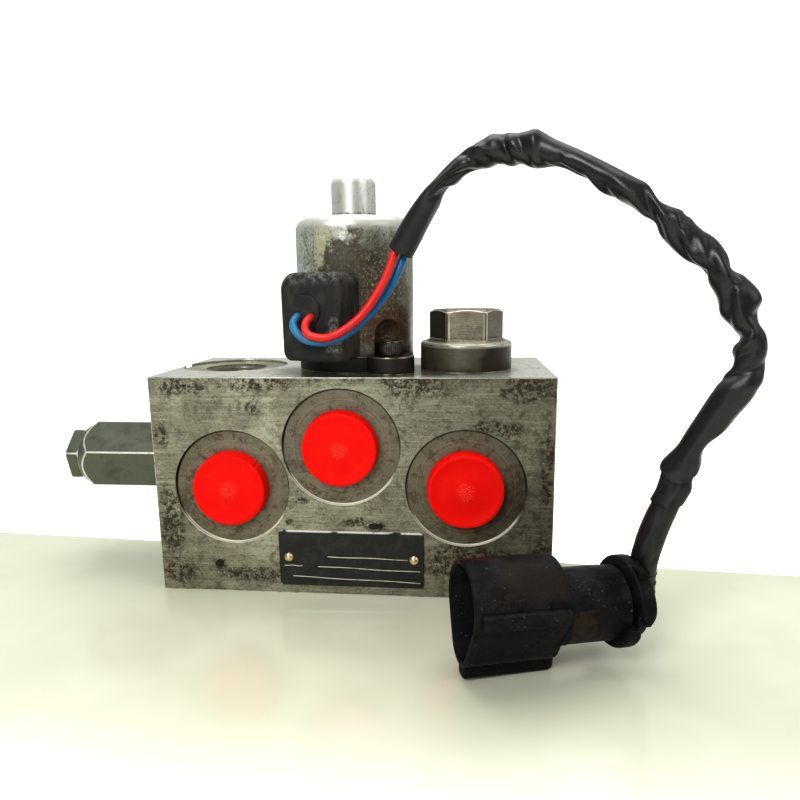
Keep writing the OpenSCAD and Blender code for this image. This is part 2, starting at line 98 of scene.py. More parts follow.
WIRE_RED_ROUTE = [
    (-0.0120, -0.0326, 0.1130), (-0.0129, -0.0356, 0.1128), (-0.0140, -0.0384, 0.1106),
    (-0.0132, -0.0404, 0.1076), (-0.0102, -0.0414, 0.1062), (-0.0054, -0.0420, 0.1059),
    (0.0000, -0.0420, 0.1080), (0.0060, -0.0410, 0.1123), (0.0106, -0.0390, 0.1177),
    (0.0144, -0.0360, 0.1241), (0.0172, -0.0330, 0.1304), (0.0190, -0.0304, 0.1364),
    (0.0208, -0.0296, 0.1410),
]
WIRE_BLUE_ROUTE = [
    (-0.0174, -0.0306, 0.1134), (-0.0185, -0.0336, 0.1130), (-0.0192, -0.0364, 0.1106),
    (-0.0176, -0.0386, 0.1078), (-0.0144, -0.0392, 0.1051), (-0.0100, -0.0392, 0.1040),
    (-0.0050, -0.0390, 0.1042), (0.0010, -0.0388, 0.1066), (0.0064, -0.0376, 0.1106),
    (0.0108, -0.0358, 0.1150), (0.0148, -0.0334, 0.1200), (0.0182, -0.0312, 0.1254),
    (0.0206, -0.0292, 0.1308), (0.0224, -0.0278, 0.1356), (0.0238, -0.0282, 0.1404),
]
SLEEVE_ROUTE = [
    (0.0210, -0.0285, 0.1370), (0.0270, -0.0310, 0.1480), (0.0340, -0.0350, 0.1570),
    (0.0420, -0.0390, 0.1640), (0.0510, -0.0430, 0.1685), (0.0600, -0.0470, 0.1690),
    (0.0690, -0.0520, 0.1670), (0.0780, -0.0560, 0.1630), (0.0870, -0.0600, 0.1580),
    (0.0960, -0.0640, 0.1515), (0.1040, -0.0680, 0.1435), (0.1110, -0.0710, 0.1360),
    (0.1170, -0.0750, 0.1290), (0.1230, -0.0770, 0.1210), (0.1260, -0.0790, 0.1130),
    (0.1270, -0.0790, 0.1040), (0.1250, -0.0780, 0.0955), (0.1210, -0.0760, 0.0860),
    (0.1160, -0.0740, 0.0750), (0.1120, -0.0720, 0.0650), (0.1100, -0.0710, 0.0570),
    (0.1072, -0.0700, 0.0480), (0.1050, -0.0683, 0.0380), (0.1043, -0.0676, 0.0310),
    (0.1042, -0.0676, 0.0250),
]
WIRE_R = 1.55 * MM
SLEEVE_D = 10.6 * MM

# The sleeve's bulges, and its pinches as negative ones, on the outside and on the inside of the
# arch: (distance along it, size, half length), in millimetres
SLEEVE_REACH = 4.4
OUTER_BULGES = [
    (0, 0.5, 8), (28, -1.5, 15), (54, 0.5, 3), (65, 1.5, 4), (90, -1, 16), (109, -1.5, 4), (117, 1, 3),
    (128, 1, 5), (138, -1.5, 3), (147, 1, 4), (153, -2, 3), (172, 1.5, 9), (193, -2, 5), (208, 1, 3),
]
INNER_BULGES = [
    (8, 1, 12), (28, -2.5, 4), (38, -1, 4), (48, 1, 3), (58, 1.5, 3), (67, 1.5, 4), (78, -1.5, 5),
    (86, -1, 4), (105, -1, 5), (112, -2, 3), (132, -1.5, 4), (148, 1.5, 5), (157, -1.5, 3),
    (167, -1.5, 3), (203, 1, 4),
]
# Creases: (distance, angle round the tube, half length, slant, depth, width), in millimetres and
# degrees. Angle 0 is the outside of the arch and 90 the side towards the front; a slant of 0
# runs along the tube. A negative depth is a ridge.
SLEEVE_CREASES = [
    (27, 165, 7, 60, 0.9, 1.0), (33, 100, 11, 12, -1.1, 1.3), (36, 140, 7, 25, 1.2, 1.2),
    (38, 60, 9, -10, 0.6, 1.4), (43, 95, 5, 70, 1.1, 0.9), (47, 75, 7, 40, -1.0, 0.9),
    (52, 85, 9, 80, -0.8, 1.3), (57, 100, 8, 70, 1.6, 0.9),
    (64, 110, 7, 60, 1.1, 1.0), (66, 60, 6, 75, -0.7, 0.8),
    (71, 150, 6, 45, 0.8, 0.9), (76, 120, 4, 80, 0.5, 0.6), (83, 165, 8, 20, 0.8, 1.1),
    (90, 150, 6, 35, -0.6, 0.8), (96, 165, 6, 50, 0.7, 0.8), (103, 110, 10, 15, -0.7, 1.3),
    (109, 60, 9, 25, -1.1, 1.2), (111, 110, 8, 30, 1.1, 1.2), (118, 25, 5, 70, 1.0, 0.8),
    (121, 85, 11, 25, -1.0, 1.1), (124, 120, 9, 30, 0.9, 1.3), (131, 60, 7, 40, 0.8, 1.1),
    (134, 150, 6, 70, 0.9, 0.9), (139, 30, 7, 60, 1.1, 1.0), (143, 80, 9, 20, -0.8, 1.2),
    (147, 130, 8, 30, 0.8, 1.2), (151, 20, 5, 80, 1.2, 0.9), (157, 150, 6, 75, 1.2, 0.9),
    (160, 110, 7, 40, -0.9, 0.9), (163, 130, 6, 65, 0.9, 0.8), (168, 95, 10, 62, 1.3, 0.9),
    (171, 60, 8, 60, -0.6, 1.0), (178, 100, 12, 8, -0.3, 2.0), (190, 60, 10, 10, 0.3, 1.6),
    (224, 70, 10, -18, 0.6, 1.3), (228, 110, 8, 25, -0.5, 1.1), (236, 80, 7, 55, 0.5, 1.0),
]
# Cuffs, where the sleeve overlaps itself: (distance at the front, how much earlier on the outside
# of the arch, how much earlier on the inside, height of the step), in millimetres
SLEEVE_CUFFS = [(206.5, 12, 5, 1.5), (215.5, 6, -1, 1.1)]


def smooth_line(points, steps):
    """A Catmull-Rom curve through the points, with so many steps between each two."""
    knots = [Vector(p) for p in points]
    line = []
    for i in range(len(knots) - 1):
        before, a, b = knots[max(i - 1, 0)], knots[i], knots[i + 1]
        after = knots[min(i + 2, len(knots) - 1)]
        for k in range(steps):
            t = k / steps
            straight = 2 * a + (b - before) * t
            bend = (2 * before - 5 * a + 4 * b - after) * t ** 2
            twist = (3 * a - before - 3 * b + after) * t ** 3
            line.append((straight + bend + twist) / 2)
    return line + [knots[-1]]


def even_line(points, spacing):
    """The same curve with points an even distance apart, and the distance of each along it."""
    line = np.array([tuple(p) for p in smooth_line(points, 12)])
    walked = np.concatenate([[0], np.cumsum(np.linalg.norm(np.diff(line, axis=0), axis=1))])
    along = np.linspace(0, walked[-1], int(walked[-1] / spacing) + 1)
    return np.stack([np.interp(along, walked, line[:, i]) for i in range(3)], axis=1), along


def make_wire(name, route):
    """One insulated wire, as a curve with a round section."""
    curve = bpy.data.curves.new(name + "_line", "CURVE")
    curve.dimensions = "3D"
    curve.bevel_depth = WIRE_R / MM
    curve.bevel_resolution = 6
    curve.use_fill_caps = True
    line = smooth_line(route, 8)
    spline = curve.splines.new("POLY")
    spline.points.add(len(line) - 1)
    for point, place in zip(spline.points, line):
        point.co = (*place, 1)
        point.radius = MM
    wire = add_object(name + "_line", curve)
    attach(wire, "valve")
    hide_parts(name)
    return wire


def crease_depth(along, angle, crease):
    """How far one crease draws the sleeve's wall in, in millimetres."""
    place, turn, half_length, slant, depth, width = crease
    ahead = along - place
    aside = (np.mod(angle - math.radians(turn) + math.pi, FULL_TURN) - math.pi) * SLEEVE_D / 2 / MM
    lean = math.radians(slant)
    down_it = ahead * math.cos(lean) + aside * math.sin(lean)
    off_it = aside * math.cos(lean) - ahead * math.sin(lean)
    ends = np.exp(-(down_it / half_length) ** 4)
    sides = np.exp(-(off_it / (1.35 * width)) ** 2)
    return depth * ends * sides


def small_creases(count):
    """Small creases all round the sleeve, always the same ones."""
    dice = random.Random(7)
    return [
        (dice.uniform(30, 240), dice.uniform(0, 360), dice.uniform(3, 8), dice.uniform(-20, 95),
         dice.choice((-1, 1)) * dice.uniform(0.1, 0.35), dice.uniform(0.8, 1.6))
        for _ in range(count)
    ]


def side_reach(along, bulges):
    """How far one side of the sleeve reaches from its middle, in millimetres."""
    return SLEEVE_REACH + sum(
        size * np.exp(-((along - place) / half_length) ** 2) for place, size, half_length in bulges
    )


def sleeve_radius(along, angle):
    """The sleeve's outside radius in millimetres at a distance and an angle."""
    facing = np.cos(angle)
    front = 4.5 + 0.35 * np.sin(along / 7) + 0.25 * np.sin(along / 3.1 + 1)
    front = np.where(along < 20, 4.9, front)
    outer = side_reach(along, OUTER_BULGES)
    inner = side_reach(along, INNER_BULGES)
    radius = front + (outer - front) * np.maximum(facing, 0) ** 1.4
    radius = radius + (inner - front) * np.maximum(-facing, 0) ** 1.4
    for crease in SLEEVE_CREASES + small_creases(45):
        radius = radius - crease_depth(along, angle, crease)
    for _ in range(3):
        padded = np.pad(radius, ((1, 1), (0, 0)), mode="edge")
        radius = (padded[:-2] + 2 * radius + padded[2:]) / 4
        radius = (np.roll(radius, 1, 1) + 2 * radius + np.roll(radius, -1, 1)) / 4
    for front_end, outer_lead, inner_lead, height in SLEEVE_CUFFS:
        turned = (1 - np.sin(angle)) / 2
        lead = np.where(facing > 0, outer_lead, inner_lead) * turned ** 0.8 * np.abs(facing) ** 0.3
        past = along - (front_end - lead)
        before = np.exp(past / 3.5) * 0.7 - np.exp(past / 0.5) * 0.15
        lip = np.where(past < 0, before, -0.5 * np.exp(-past / 4))
        radius = radius + height * lip * (0.35 + 0.65 * np.clip(np.sin(angle) + 0.5, 0, 1))
    return np.maximum(radius, 1.9)


def make_sleeve():
    """The soft sleeve over both wires, creased where it bends, and hollow at its open end."""
    sides = 80
    wall = 0.8
    open_length = 14
    centres, along = even_line(SLEEVE_ROUTE, 0.45 * MM)
    tangents = np.gradient(centres, axis=0)
    tangents /= np.linalg.norm(tangents, axis=1)[:, None]
    across_arch = np.array([-0.43, -0.903, 0.0])
    near = across_arch - (tangents @ across_arch)[:, None] * tangents
    near /= np.linalg.norm(near, axis=1)[:, None]
    outer = np.cross(near, tangents)
    angles = np.arange(sides) / sides * FULL_TURN
    grid_along, grid_angle = np.meshgrid(along / MM, angles, indexing="ij")
    radius = sleeve_radius(grid_along, grid_angle)

    def rings(reach):
        spokes = np.cos(angles)[None, :, None] * outer[:, None, :]
        spokes = spokes + np.sin(angles)[None, :, None] * near[:, None, :]
        return centres[:, None, :] + reach[:, :, None] * MM * spokes

    bm = bmesh.new()
    outside = rings(radius)
    mouth = int(open_length * MM / (along[1] - along[0]))
    inside = rings(radius - wall)[:mouth]
    lip = rings(radius - wall / 2)[0] - tangents[0] * 0.15 * MM
    loops = [*inside[::-1], lip, *outside]
    made = [[bm.verts.new(place) for place in loop] for loop in loops]
    solid(bm, made)
    sleeve = new_piece("harness_sleeve_skin", bm, "valve", ["harness_sleeve"], crisp=70)
    return sleeve


# ---- Mesh helpers ----

def join_loops(bm, loops):
    """Quads between each loop of vertices and the next."""
    for low, high in zip(loops, loops[1:]):
        count = len(low)
        for i in range(count):
            j = (i + 1) % count
            bm.faces.new((low[i], low[j], high[j], high[i]))


def solid(bm, loops):
    """A solid from loops of vertices, with a face over the first and over the last."""
    join_loops(bm, loops)
    bm.faces.new(loops[0][::-1])
    bm.faces.new(loops[-1])


def around(place, radius, angle, height):
    """A place in metres, from a radius, an angle and a height in millimetres round a matrix's Z axis."""
    return place @ Vector((radius * math.cos(angle) * MM, radius * math.sin(angle) * MM, height * MM))


def new_piece(name, bm, body, replaced=(), crisp=35, weighted=False):
    """Turns a bmesh into a piece that rides on a body; edges sharper than crisp degrees stay sharp."""
    bmesh.ops.recalc_face_normals(bm, faces=bm.faces)
    for face in bm.faces:
        face.smooth = True
    for edge in bm.edges:
        edge.smooth = len(edge.link_faces) != 2 or edge.calc_face_angle(0) < math.radians(crisp)
    mesh = bpy.data.meshes.new(name)
    bm.to_mesh(mesh)
    bm.free()
    piece = add_object(name, mesh)
    if weighted:
        flat_first = piece.modifiers.new("weighted", "WEIGHTED_NORMAL")
        flat_first.keep_sharp = True
        flat_first.weight = 100
    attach(piece, body)
    if replaced:
        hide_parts(*replaced)
    return piece


def turn_profile(bm, profile, place, steps=96, shape=None):
    """Turns (radius, height) points, in millimetres, round a matrix's Z axis into a closed skin.

    A radius of 0 at either end closes it with a fan. shape(radius, angle, height) may change a radius.
    """
    loops = []
    for radius, height in profile:
        if radius == 0:
            loops.append([bm.verts.new(place @ Vector((0, 0, height * MM)))])
            continue
        loop = []
        for k in range(steps):
            angle = k / steps * FULL_TURN
            r = shape(radius, angle, height) if shape else radius
            loop.append(bm.verts.new(around(place, r, angle, height)))
        loops.append(loop)
    for low, high in zip(loops, loops[1:]):
        for k in range(steps):
            n = (k + 1) % steps
            corners = [low[k % len(low)], low[n % len(low)], high[n % len(high)], high[k % len(high)]]
            corners = list(dict.fromkeys(corners))
            if len(corners) > 2:
                bm.faces.new(corners)


def rounded(corner, radius, start, end, steps=4):
    """Points of an arc round a corner, from angle start to end in degrees."""
    return [
        (corner[0] + radius * math.cos(math.radians(start + (end - start) * i / steps)),
         corner[1] + radius * math.sin(math.radians(start + (end - start) * i / steps)))
        for i in range(steps + 1)
    ]


def refined(node, width, chosen=None, sharpest=28, segments=2):
    """A copy of a CAD node's mesh with its outward hard edges rounded; the rounds take a second finish."""
    source = frame["nodes"][node]
    bm = bmesh.new()
    bm.from_mesh(source.data)
    bmesh.ops.remove_doubles(bm, verts=bm.verts, dist=0.002 * MM)
    bmesh.ops.dissolve_limit(bm, angle_limit=math.radians(0.2), verts=bm.verts, edges=bm.edges)
    for face in bm.faces:
        face.material_index = 0
    hard = [
        edge for edge in bm.edges
        if len(edge.link_faces) == 2 and edge.is_convex
        and edge.calc_face_angle(0) > math.radians(sharpest) and (chosen is None or chosen(edge))
    ]
    bmesh.ops.bevel(bm, geom=hard, offset=width * MM, offset_type="OFFSET", segments=segments,
                    profile=0.6, affect="EDGES", clamp_overlap=False, material=1)
    bmesh.ops.triangulate(bm, faces=[f for f in bm.faces if len(f.verts) > 4])
    return new_piece(node + "_finished", bm, source["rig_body"], [node], weighted=True)


def middle(node):
    low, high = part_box(node)
    return (low + high) / 2


# ---- Materials ----

class Finish:
    """A procedural material while it is being built up, in the object's own coordinates."""

    def __init__(self, name, colour, rough, metal=0.0, **fixed):
        self.material = bpy.data.materials.new(name)
        self.material.use_nodes = True
        self.nodes = self.material.node_tree.nodes
        self.links = self.material.node_tree.links
        self.shader = self.nodes["Principled BSDF"]
        self.here = self.nodes.new("ShaderNodeTexCoord").outputs["Object"]
        self.colour = (*colour, 1)
        self.rough = rough
        self.metal = metal
        self.height = None
        self.normal = None
        for socket, value in fixed.items():
            self.shader.inputs[socket.replace("_", " ")].default_value = value

    def put(self, socket, value):
        if isinstance(value, bpy.types.NodeSocket):
            self.links.new(value, socket)
        else:
            socket.default_value = value

    def node(self, kind, *values, **settings):
        made = self.nodes.new("ShaderNode" + kind)
        for name, value in settings.items():
            setattr(made, name, value)
        for socket, value in zip(made.inputs, values):
            if value is not None:
                self.put(socket, value)
        return made

    def maths(self, operation, a, b=0.0, c=0.0):
        return self.node("Math", a, b, c, operation=operation).outputs[0]

    def step(self, value, low, high, to_low=0.0, to_high=1.0):
        """0 to 1 as value goes from low to high, smoothly."""
        made = self.node("MapRange", value, low, high, to_low, to_high, interpolation_type="SMOOTHSTEP")
        return made.outputs[0]

    def noise(self, size, detail=4, rough=0.6, stretch=(1, 1, 1), shift=(0, 0, 0), bend=0.0):
        """Noise whose blotches are about size millimetres across."""
        placed = self.node("Mapping", self.here, shift, None, stretch).outputs[0]
        made = self.node("TexNoise", placed)
        made.inputs["Scale"].default_value = 1 / (size * MM)
        made.inputs["Detail"].default_value = detail
        made.inputs["Roughness"].default_value = rough
        made.inputs["Distortion"].default_value = bend
        return made.outputs[0]

    def axis(self, which):
        """The x, y or z coordinate in millimetres."""
        parts = self.node("SeparateXYZ", self.here).outputs
        return self.maths("MULTIPLY", parts["XYZ".index(which)], 1 / MM)

    def patch(self, centre, reach, ragged=0.5, size=6, soft=0.25, shift=(0, 0, 0)):
        """1 inside an ellipsoid in millimetres, 0 outside, with a ragged edge."""
        away = tuple(-c * MM for c in centre)
        moved = self.node("VectorMath", self.here, away, operation="ADD").outputs[0]
        sizes = tuple(1 / (r * MM) for r in reach)
        scaled = self.node("VectorMath", moved, sizes, operation="MULTIPLY").outputs[0]
        far = self.node("VectorMath", scaled, operation="LENGTH").outputs["Value"]
        rough_edge = self.maths("MULTIPLY_ADD", self.noise(size, 6, 0.65, shift=shift), 2 * ragged, -ragged)
        return self.step(self.maths("ADD", far, rough_edge), 1 + soft, 1 - soft)

    def both(self, a, b):
        return self.maths("MULTIPLY", a, b)

    def most(self, a, b):
        return self.maths("MAXIMUM", a, b)

    def scale(self, a, amount):
        return self.maths("MULTIPLY", a, amount)

    def paint(self, colour, mask, amount=1.0):
        mixed = self.nodes.new("ShaderNodeMix")
        mixed.data_type = "RGBA"
        self.put(mixed.inputs[0], self.scale(mask, amount))
        self.put(mixed.inputs[6], self.colour)
        self.put(mixed.inputs[7], (*colour, 1))
        self.colour = mixed.outputs[2]

    def blotches(self, colour, amount, low, high, *noise, **placed):
        """Paints a colour over the blotches where noise goes from low to high."""
        self.paint(colour, self.step(self.noise(*noise, **placed), low, high), amount)

    def roughen(self, value, amount, low, high, *noise, **placed):
        """Moves the roughness towards value over the blotches where noise goes from low to high."""
        self.vary("rough", value, self.step(self.noise(*noise, **placed), low, high), amount)

    def vary(self, which, value, mask, amount=1.0):
        """Moves the roughness ("rough") or the metalness ("metal") towards value where mask is 1."""
        mixed = self.nodes.new("ShaderNodeMix")
        self.put(mixed.inputs[0], self.scale(mask, amount))
        self.put(mixed.inputs[2], getattr(self, which))
        self.put(mixed.inputs[3], value)
        setattr(self, which, mixed.outputs[0])

    def bump(self, height, depth):
        """Raises the surface by up to depth millimetres where height is 1."""
        made = self.node("Bump")
        made.inputs["Strength"].default_value = 1
        made.inputs["Distance"].default_value = depth * MM
        self.put(made.inputs["Height"], height)
        if self.normal:
            self.put(made.inputs["Normal"], self.normal)
        self.normal = made.outputs[0]

    def done(self):
        self.put(self.shader.inputs["Base Color"], self.colour)
        self.put(self.shader.inputs["Roughness"], self.rough)
        self.put(self.shader.inputs["Metallic"], self.metal)
        if self.normal:
            self.put(self.shader.inputs["Normal"], self.normal)
        return self.material


# The front ports, as (x, z) in millimetres
PORTS = ((-48, 45), (-3, 62), (46, 46))


def block_steel():
    """Ground steel with a yellowish cast, speckled with rust, dark speckled along the top front edge;
    painted lighter towards the left and painted shade towards the right, a painted highlight over the top
    face with painted dark reflections of the can and plug, painted shade and highlight on the spotface
    walls, and painted shadow below the caps.
    """
    f = Finish("block_steel", (0.21, 0.205, 0.15), 0.36, 0.45)
    x, y, z = f.axis("X"), f.axis("Y"), f.axis("Z")
    lit_left_side = f.step(x, 60, -60)
    shaded_right_side = f.step(x, 10, 70)
    front = f.step(y, -32.4, -32.7)
    # Painted light: broad random patches made lighter towards the left, where the light falls.
    f.paint((0.44, 0.44, 0.34), f.both(f.step(f.noise(24, 4), 0.36, 0.66), lit_left_side), 0.85)
    f.blotches((0.36, 0.355, 0.265), 0.5, 0.5, 0.7, 11, 5, shift=(0.3, 0, 0))
    grind = f.noise(0.9, 4, 0.65, stretch=(0.04, 1, 1))
    f.paint((0.56, 0.55, 0.42), f.step(grind, 0.52, 0.70), 0.4)
    f.paint((0.10, 0.095, 0.06), f.step(grind, 0.47, 0.34), 0.5)
    f.blotches((0.56, 0.54, 0.39), 0.38, 0.53, 0.63, 0.75, 5, 0.8)
    f.blotches((0.06, 0.05, 0.03), 0.4, 0.47, 0.39, 0.9, 5, 0.8, shift=(0.9, 0, 0))
    mottle = f.step(f.noise(4, 7, 0.78, shift=(0.7, 0, 0)), 0.50, 0.62)
    f.paint((0.07, 0.056, 0.032), mottle, 0.55)
    # Rust mottle made darker towards the right as painted shade, then painted shade over the right of the
    # front face.
    f.paint((0.05, 0.036, 0.018), f.both(mottle, shaded_right_side), 0.5)
    f.paint((0.13, 0.12, 0.08), f.both(front, shaded_right_side), 0.35)
    grains = f.step(f.noise(1.1, 6, 0.8, shift=(0, 0, 0.3)), 0.585, 0.65)
    f.paint((0.022, 0.014, 0.007), grains, 0.8)
    speckle = f.step(f.noise(1.7, 7, 0.8, shift=(0, 0.2, 0)), 0.43, 0.56)
    edge_band = f.step(f.maths("ADD", z, f.scale(f.noise(9, 6, 0.7), 16)), 94, 99)
    f.paint((0.045, 0.026, 0.011), f.both(f.both(edge_band, front), speckle), 0.95)
    stains = [
        ((-36, -34, 87), (13, 4, 3)), ((-66, -34, 86), (10, 4, 3)), ((26, -34, 86), (13, 4, 4)),
        ((70, -34, 86), (12, 4, 6)), ((10, -34, 30), (4.5, 4, 2.2)), ((2, -34, 31.5), (5, 4, 2)),
        ((-55, -34, 12), (3.5, 4, 2.6)), ((-25, -34, 31), (1.5, 4, 1.3)), ((-20, -34, 40), (3, 4, 1.5)),
        ((-38, -34, 78), (3, 4, 2.4)), ((57, -34, 70), (10, 4, 3.4)), ((77, -34, 56), (2.6, 4, 17)),
        ((-76, -34, 66), (3.4, 4, 4)), ((-74, -34, 30), (5, 4, 16)), ((-72, -34, 8), (8, 4, 5)),
        ((-9, -33, 42), (8, 2, 2.4)), ((65, -33, 45), (4, 2, 12)), ((76, -34, 18), (4, 4, 9)),
        ((-40, -34, 8), (16, 4, 3)), ((46, -34, 16), (20, 4, 7)), ((-66, -33, 38), (3, 2, 8)),
    ]
    for i, (centre, reach) in enumerate(stains):
        spot = f.patch(centre, reach, 0.9, 4, 0.35, (i * 0.013, 0, 0))
        f.paint((0.035, 0.022, 0.010), f.both(spot, speckle), 0.95)
    f.paint((0.010, 0.008, 0.006), f.patch((10.5, -34, 29.8), (3.2, 4, 1.3), 0.9, 2, 0.2), 0.95)
    f.paint((0.010, 0.008, 0.006), f.patch((-55, -34, 12), (2.2, 4, 1.7), 0.9, 1.6, 0.2), 0.95)
    floor_only = f.both(f.step(y, -33.5, -32.9), f.step(y, -30.5, -31.5))
    for px, pz in PORTS:
        away = f.node("VectorMath", f.here, (-px * MM, 0, -pz * MM), operation="ADD").outputs[0]
        flat = f.node("VectorMath", away, (1 / MM, 0, 1 / MM), operation="MULTIPLY").outputs[0]
        far = f.node("VectorMath", flat, operation="LENGTH").outputs["Value"]
        spot_face = f.both(f.step(far, 23.6, 23.3), floor_only)
        f.paint((0.12, 0.098, 0.062), spot_face, 0.68)
        turned = f.node("TexNoise", None, noise_dimensions="1D")
        f.put(turned.inputs["W"], far)
        turned.inputs["Scale"].default_value = 2.2
        f.paint((0.36, 0.32, 0.22), f.both(spot_face, f.step(turned.outputs[0], 0.5, 0.75)), 0.3)
        f.paint((0.05, 0.035, 0.02), f.both(spot_face, mottle), 0.5)
        # Painted shadow below the cap: a ragged dark ring on the spotface floor under it.
        dirt = f.step(f.maths("ADD", far, f.scale(f.noise(5, 5), 9)), 22.5, 19)
        f.paint((0.05, 0.034, 0.018), f.both(spot_face, f.both(dirt, f.step(z, pz + 6, pz - 10))), 0.6)
        # Painted shade on the upper arc of the spotface wall and a painted highlight on its lower arc.
        wall = f.both(f.step(f.maths("ABSOLUTE", f.maths("SUBTRACT", far, 23.4)), 0.42, 0.26), front)
        upper = f.step(f.maths("SUBTRACT", z, pz), -7, 4)
        f.paint((0.018, 0.011, 0.005), f.both(wall, upper), 0.96)
        f.paint((0.75, 0.74, 0.66), f.both(wall, f.step(f.maths("SUBTRACT", z, pz), -9, -14)), 0.9)
    # Painted highlight: the top face painted near white.
    top_face = f.step(z, 89.4, 89.9)
    f.paint((0.80, 0.80, 0.73), top_face, 0.9)
    # Painted dark reflections of the can and the plug on the top face.
    can_and_plug_reflection = f.most(f.patch((2, -16, 90), (34, 22, 6), 0.3, 9), f.patch((34, -12, 90), (30, 17, 6), 0.3, 8))
    f.paint((0.16, 0.14, 0.105), f.both(top_face, can_and_plug_reflection), 0.85)
    f.paint((0.12, 0.09, 0.05), f.both(top_face, mottle), 0.3)
    f.roughen(0.55, 0.5, 0.5, 0.7, 7, 5)
    f.vary("metal", 0.7, top_face)
    f.vary("rough", 0.26, top_face)
    f.bump(grind, 0.02)
    f.bump(f.noise(0.9, 5, 0.75), 0.035)
    return f.done()


def worn_edge(name, colour=(0.62, 0.61, 0.54), dirt=(0.22, 0.19, 0.13)):
    """Bare metal that shines through along an edge."""
    f = Finish(name, colour, 0.3, 0.9)
    f.blotches(dirt, 0.8, 0.5, 0.66, 3.5, 5, 0.7)
    f.bump(f.noise(1, 3), 0.03)
    return f.done()


def cap_red():
    """Saturated red polyethylene, faintly scuffed at the middle of its face."""
    f = Finish("cap_red", (0.80, 0.006, 0.002), 0.5, Specular_IOR_Level=0.12)
    f.blotches((0.84, 0.02, 0.008), 0.35, 0.45, 0.7, 5, 4)
    f.blotches((0.75, 0.008, 0.003), 0.25, 0.55, 0.75, 1.2, 3)
    for x, z in PORTS:
        worn = f.patch((x, -38, z), (3.2, 2, 3.2), 0.9, 1.2, 0.4)
        scuff = f.both(worn, f.step(f.noise(0.5, 4, 0.7), 0.5, 0.62))
        f.paint((1.0, 0.22, 0.14), scuff, 0.7)
    f.roughen(0.58, 0.6, 0.45, 0.7, 2, 4, 0.7)
    f.bump(f.noise(0.7, 4, 0.6), 0.02)
    return f.done()


def plate_black():
    """Black painted plate, chipped to bare metal along its edges."""
    f = Finish("plate_black", (0.008, 0.008, 0.008), 0.32)
    f.blotches((0.05, 0.045, 0.035), 0.5, 0.45, 0.7, 6, 6, 0.7)
    f.blotches((0.09, 0.08, 0.06), 0.5, 0.62, 0.72, 0.8, 3, 0.7)
    f.roughen(0.6, 0.7, 0.45, 0.65, 4, 5)
    unchipped = f.step(f.noise(9, 4, 0.6, shift=(0.02, 0, 0)), 0.42, 0.5)
    top_rim = f.both(f.step(f.axis("Z"), 26.7, 27.2), unchipped)
    f.paint((0.75, 0.75, 0.70), top_rim, 0.9)
    f.bump(f.noise(2.2, 4), 0.05)
    return f.done()


def plain_metal(name, colour, rough, dark, metal=0.9, size=5, grain=0.03, lines=None):
    """Metal with dull blotches; lines is a stretch for machining marks."""
    f = Finish(name, colour, rough, metal)
    f.blotches(dark, 0.6, 0.48, 0.72, size, 5, 0.65)
    f.blotches(tuple(c * 0.4 for c in dark), 0.6, 0.62, 0.74, 0.9, 3, 0.7)
    f.roughen(min(rough + 0.25, 1), 0.6, 0.45, 0.7, size, 4, shift=(0, 0, 0.1))
    if lines:
        marks = f.noise(0.7, 3, 0.6, stretch=lines)
        f.paint(tuple(min(c * 1.7, 1) for c in colour), f.step(marks, 0.55, 0.8), 0.4)
        f.bump(marks, grain)
    f.bump(f.noise(0.8, 4, 0.7), grain)
    return f.done()


def plug_steel():
    """Turned steel with fine level lines, with painted shade on the collar's right and on the hexagon's left
    and right facets, and a painted highlight where the collar meets the hexagon.
    """
    f = Finish("plug_steel", (0.24, 0.22, 0.165), 0.40, 0.6)
    x, z = f.axis("X"), f.axis("Z")
    f.blotches((0.14, 0.125, 0.09), 0.7, 0.44, 0.6, 5, 6, 0.7)
    lines = f.noise(0.6, 4, 0.7, stretch=(0.05, 0.05, 3))
    f.paint((0.46, 0.43, 0.34), f.step(lines, 0.5, 0.64), 0.55)
    f.blotches((0.05, 0.04, 0.025), 0.6, 0.56, 0.64, 1.2, 6, 0.8)
    hexagon = f.step(z, 101, 102)
    # Painted shade: the hexagon's facets on the left very dark, those on the right darker.
    f.paint((0.045, 0.038, 0.026), f.both(hexagon, f.step(x, 38.6, 38.0)), 0.9)
    f.paint((0.10, 0.085, 0.06), f.both(hexagon, f.step(x, 53.4, 54.0)), 0.7)
    collar = f.step(z, 100.5, 99.5)
    f.paint((0.075, 0.066, 0.048), collar, 0.75)
    # Painted shade on the collar's right side.
    f.paint((0.03, 0.024, 0.016), f.both(collar, f.patch((58, -17, 94), (8, 10, 9), 0.5, 5)), 0.9)
    foot = f.step(f.maths("ADD", z, f.scale(f.noise(5, 5), 9)), 97, 93)
    f.paint((0.04, 0.025, 0.015), f.both(collar, foot), 0.8)
    # Painted highlight on the band where the collar meets the hexagon.
    f.paint((0.42, 0.40, 0.34), f.both(f.step(z, 99.4, 100.2), f.step(z, 102.2, 101.4)), 0.7)
    f.roughen(0.5, 0.6, 0.45, 0.7, 4, 5)
    f.bump(lines, 0.03)
    f.bump(f.noise(0.9, 5, 0.75), 0.03)
    return f.done()


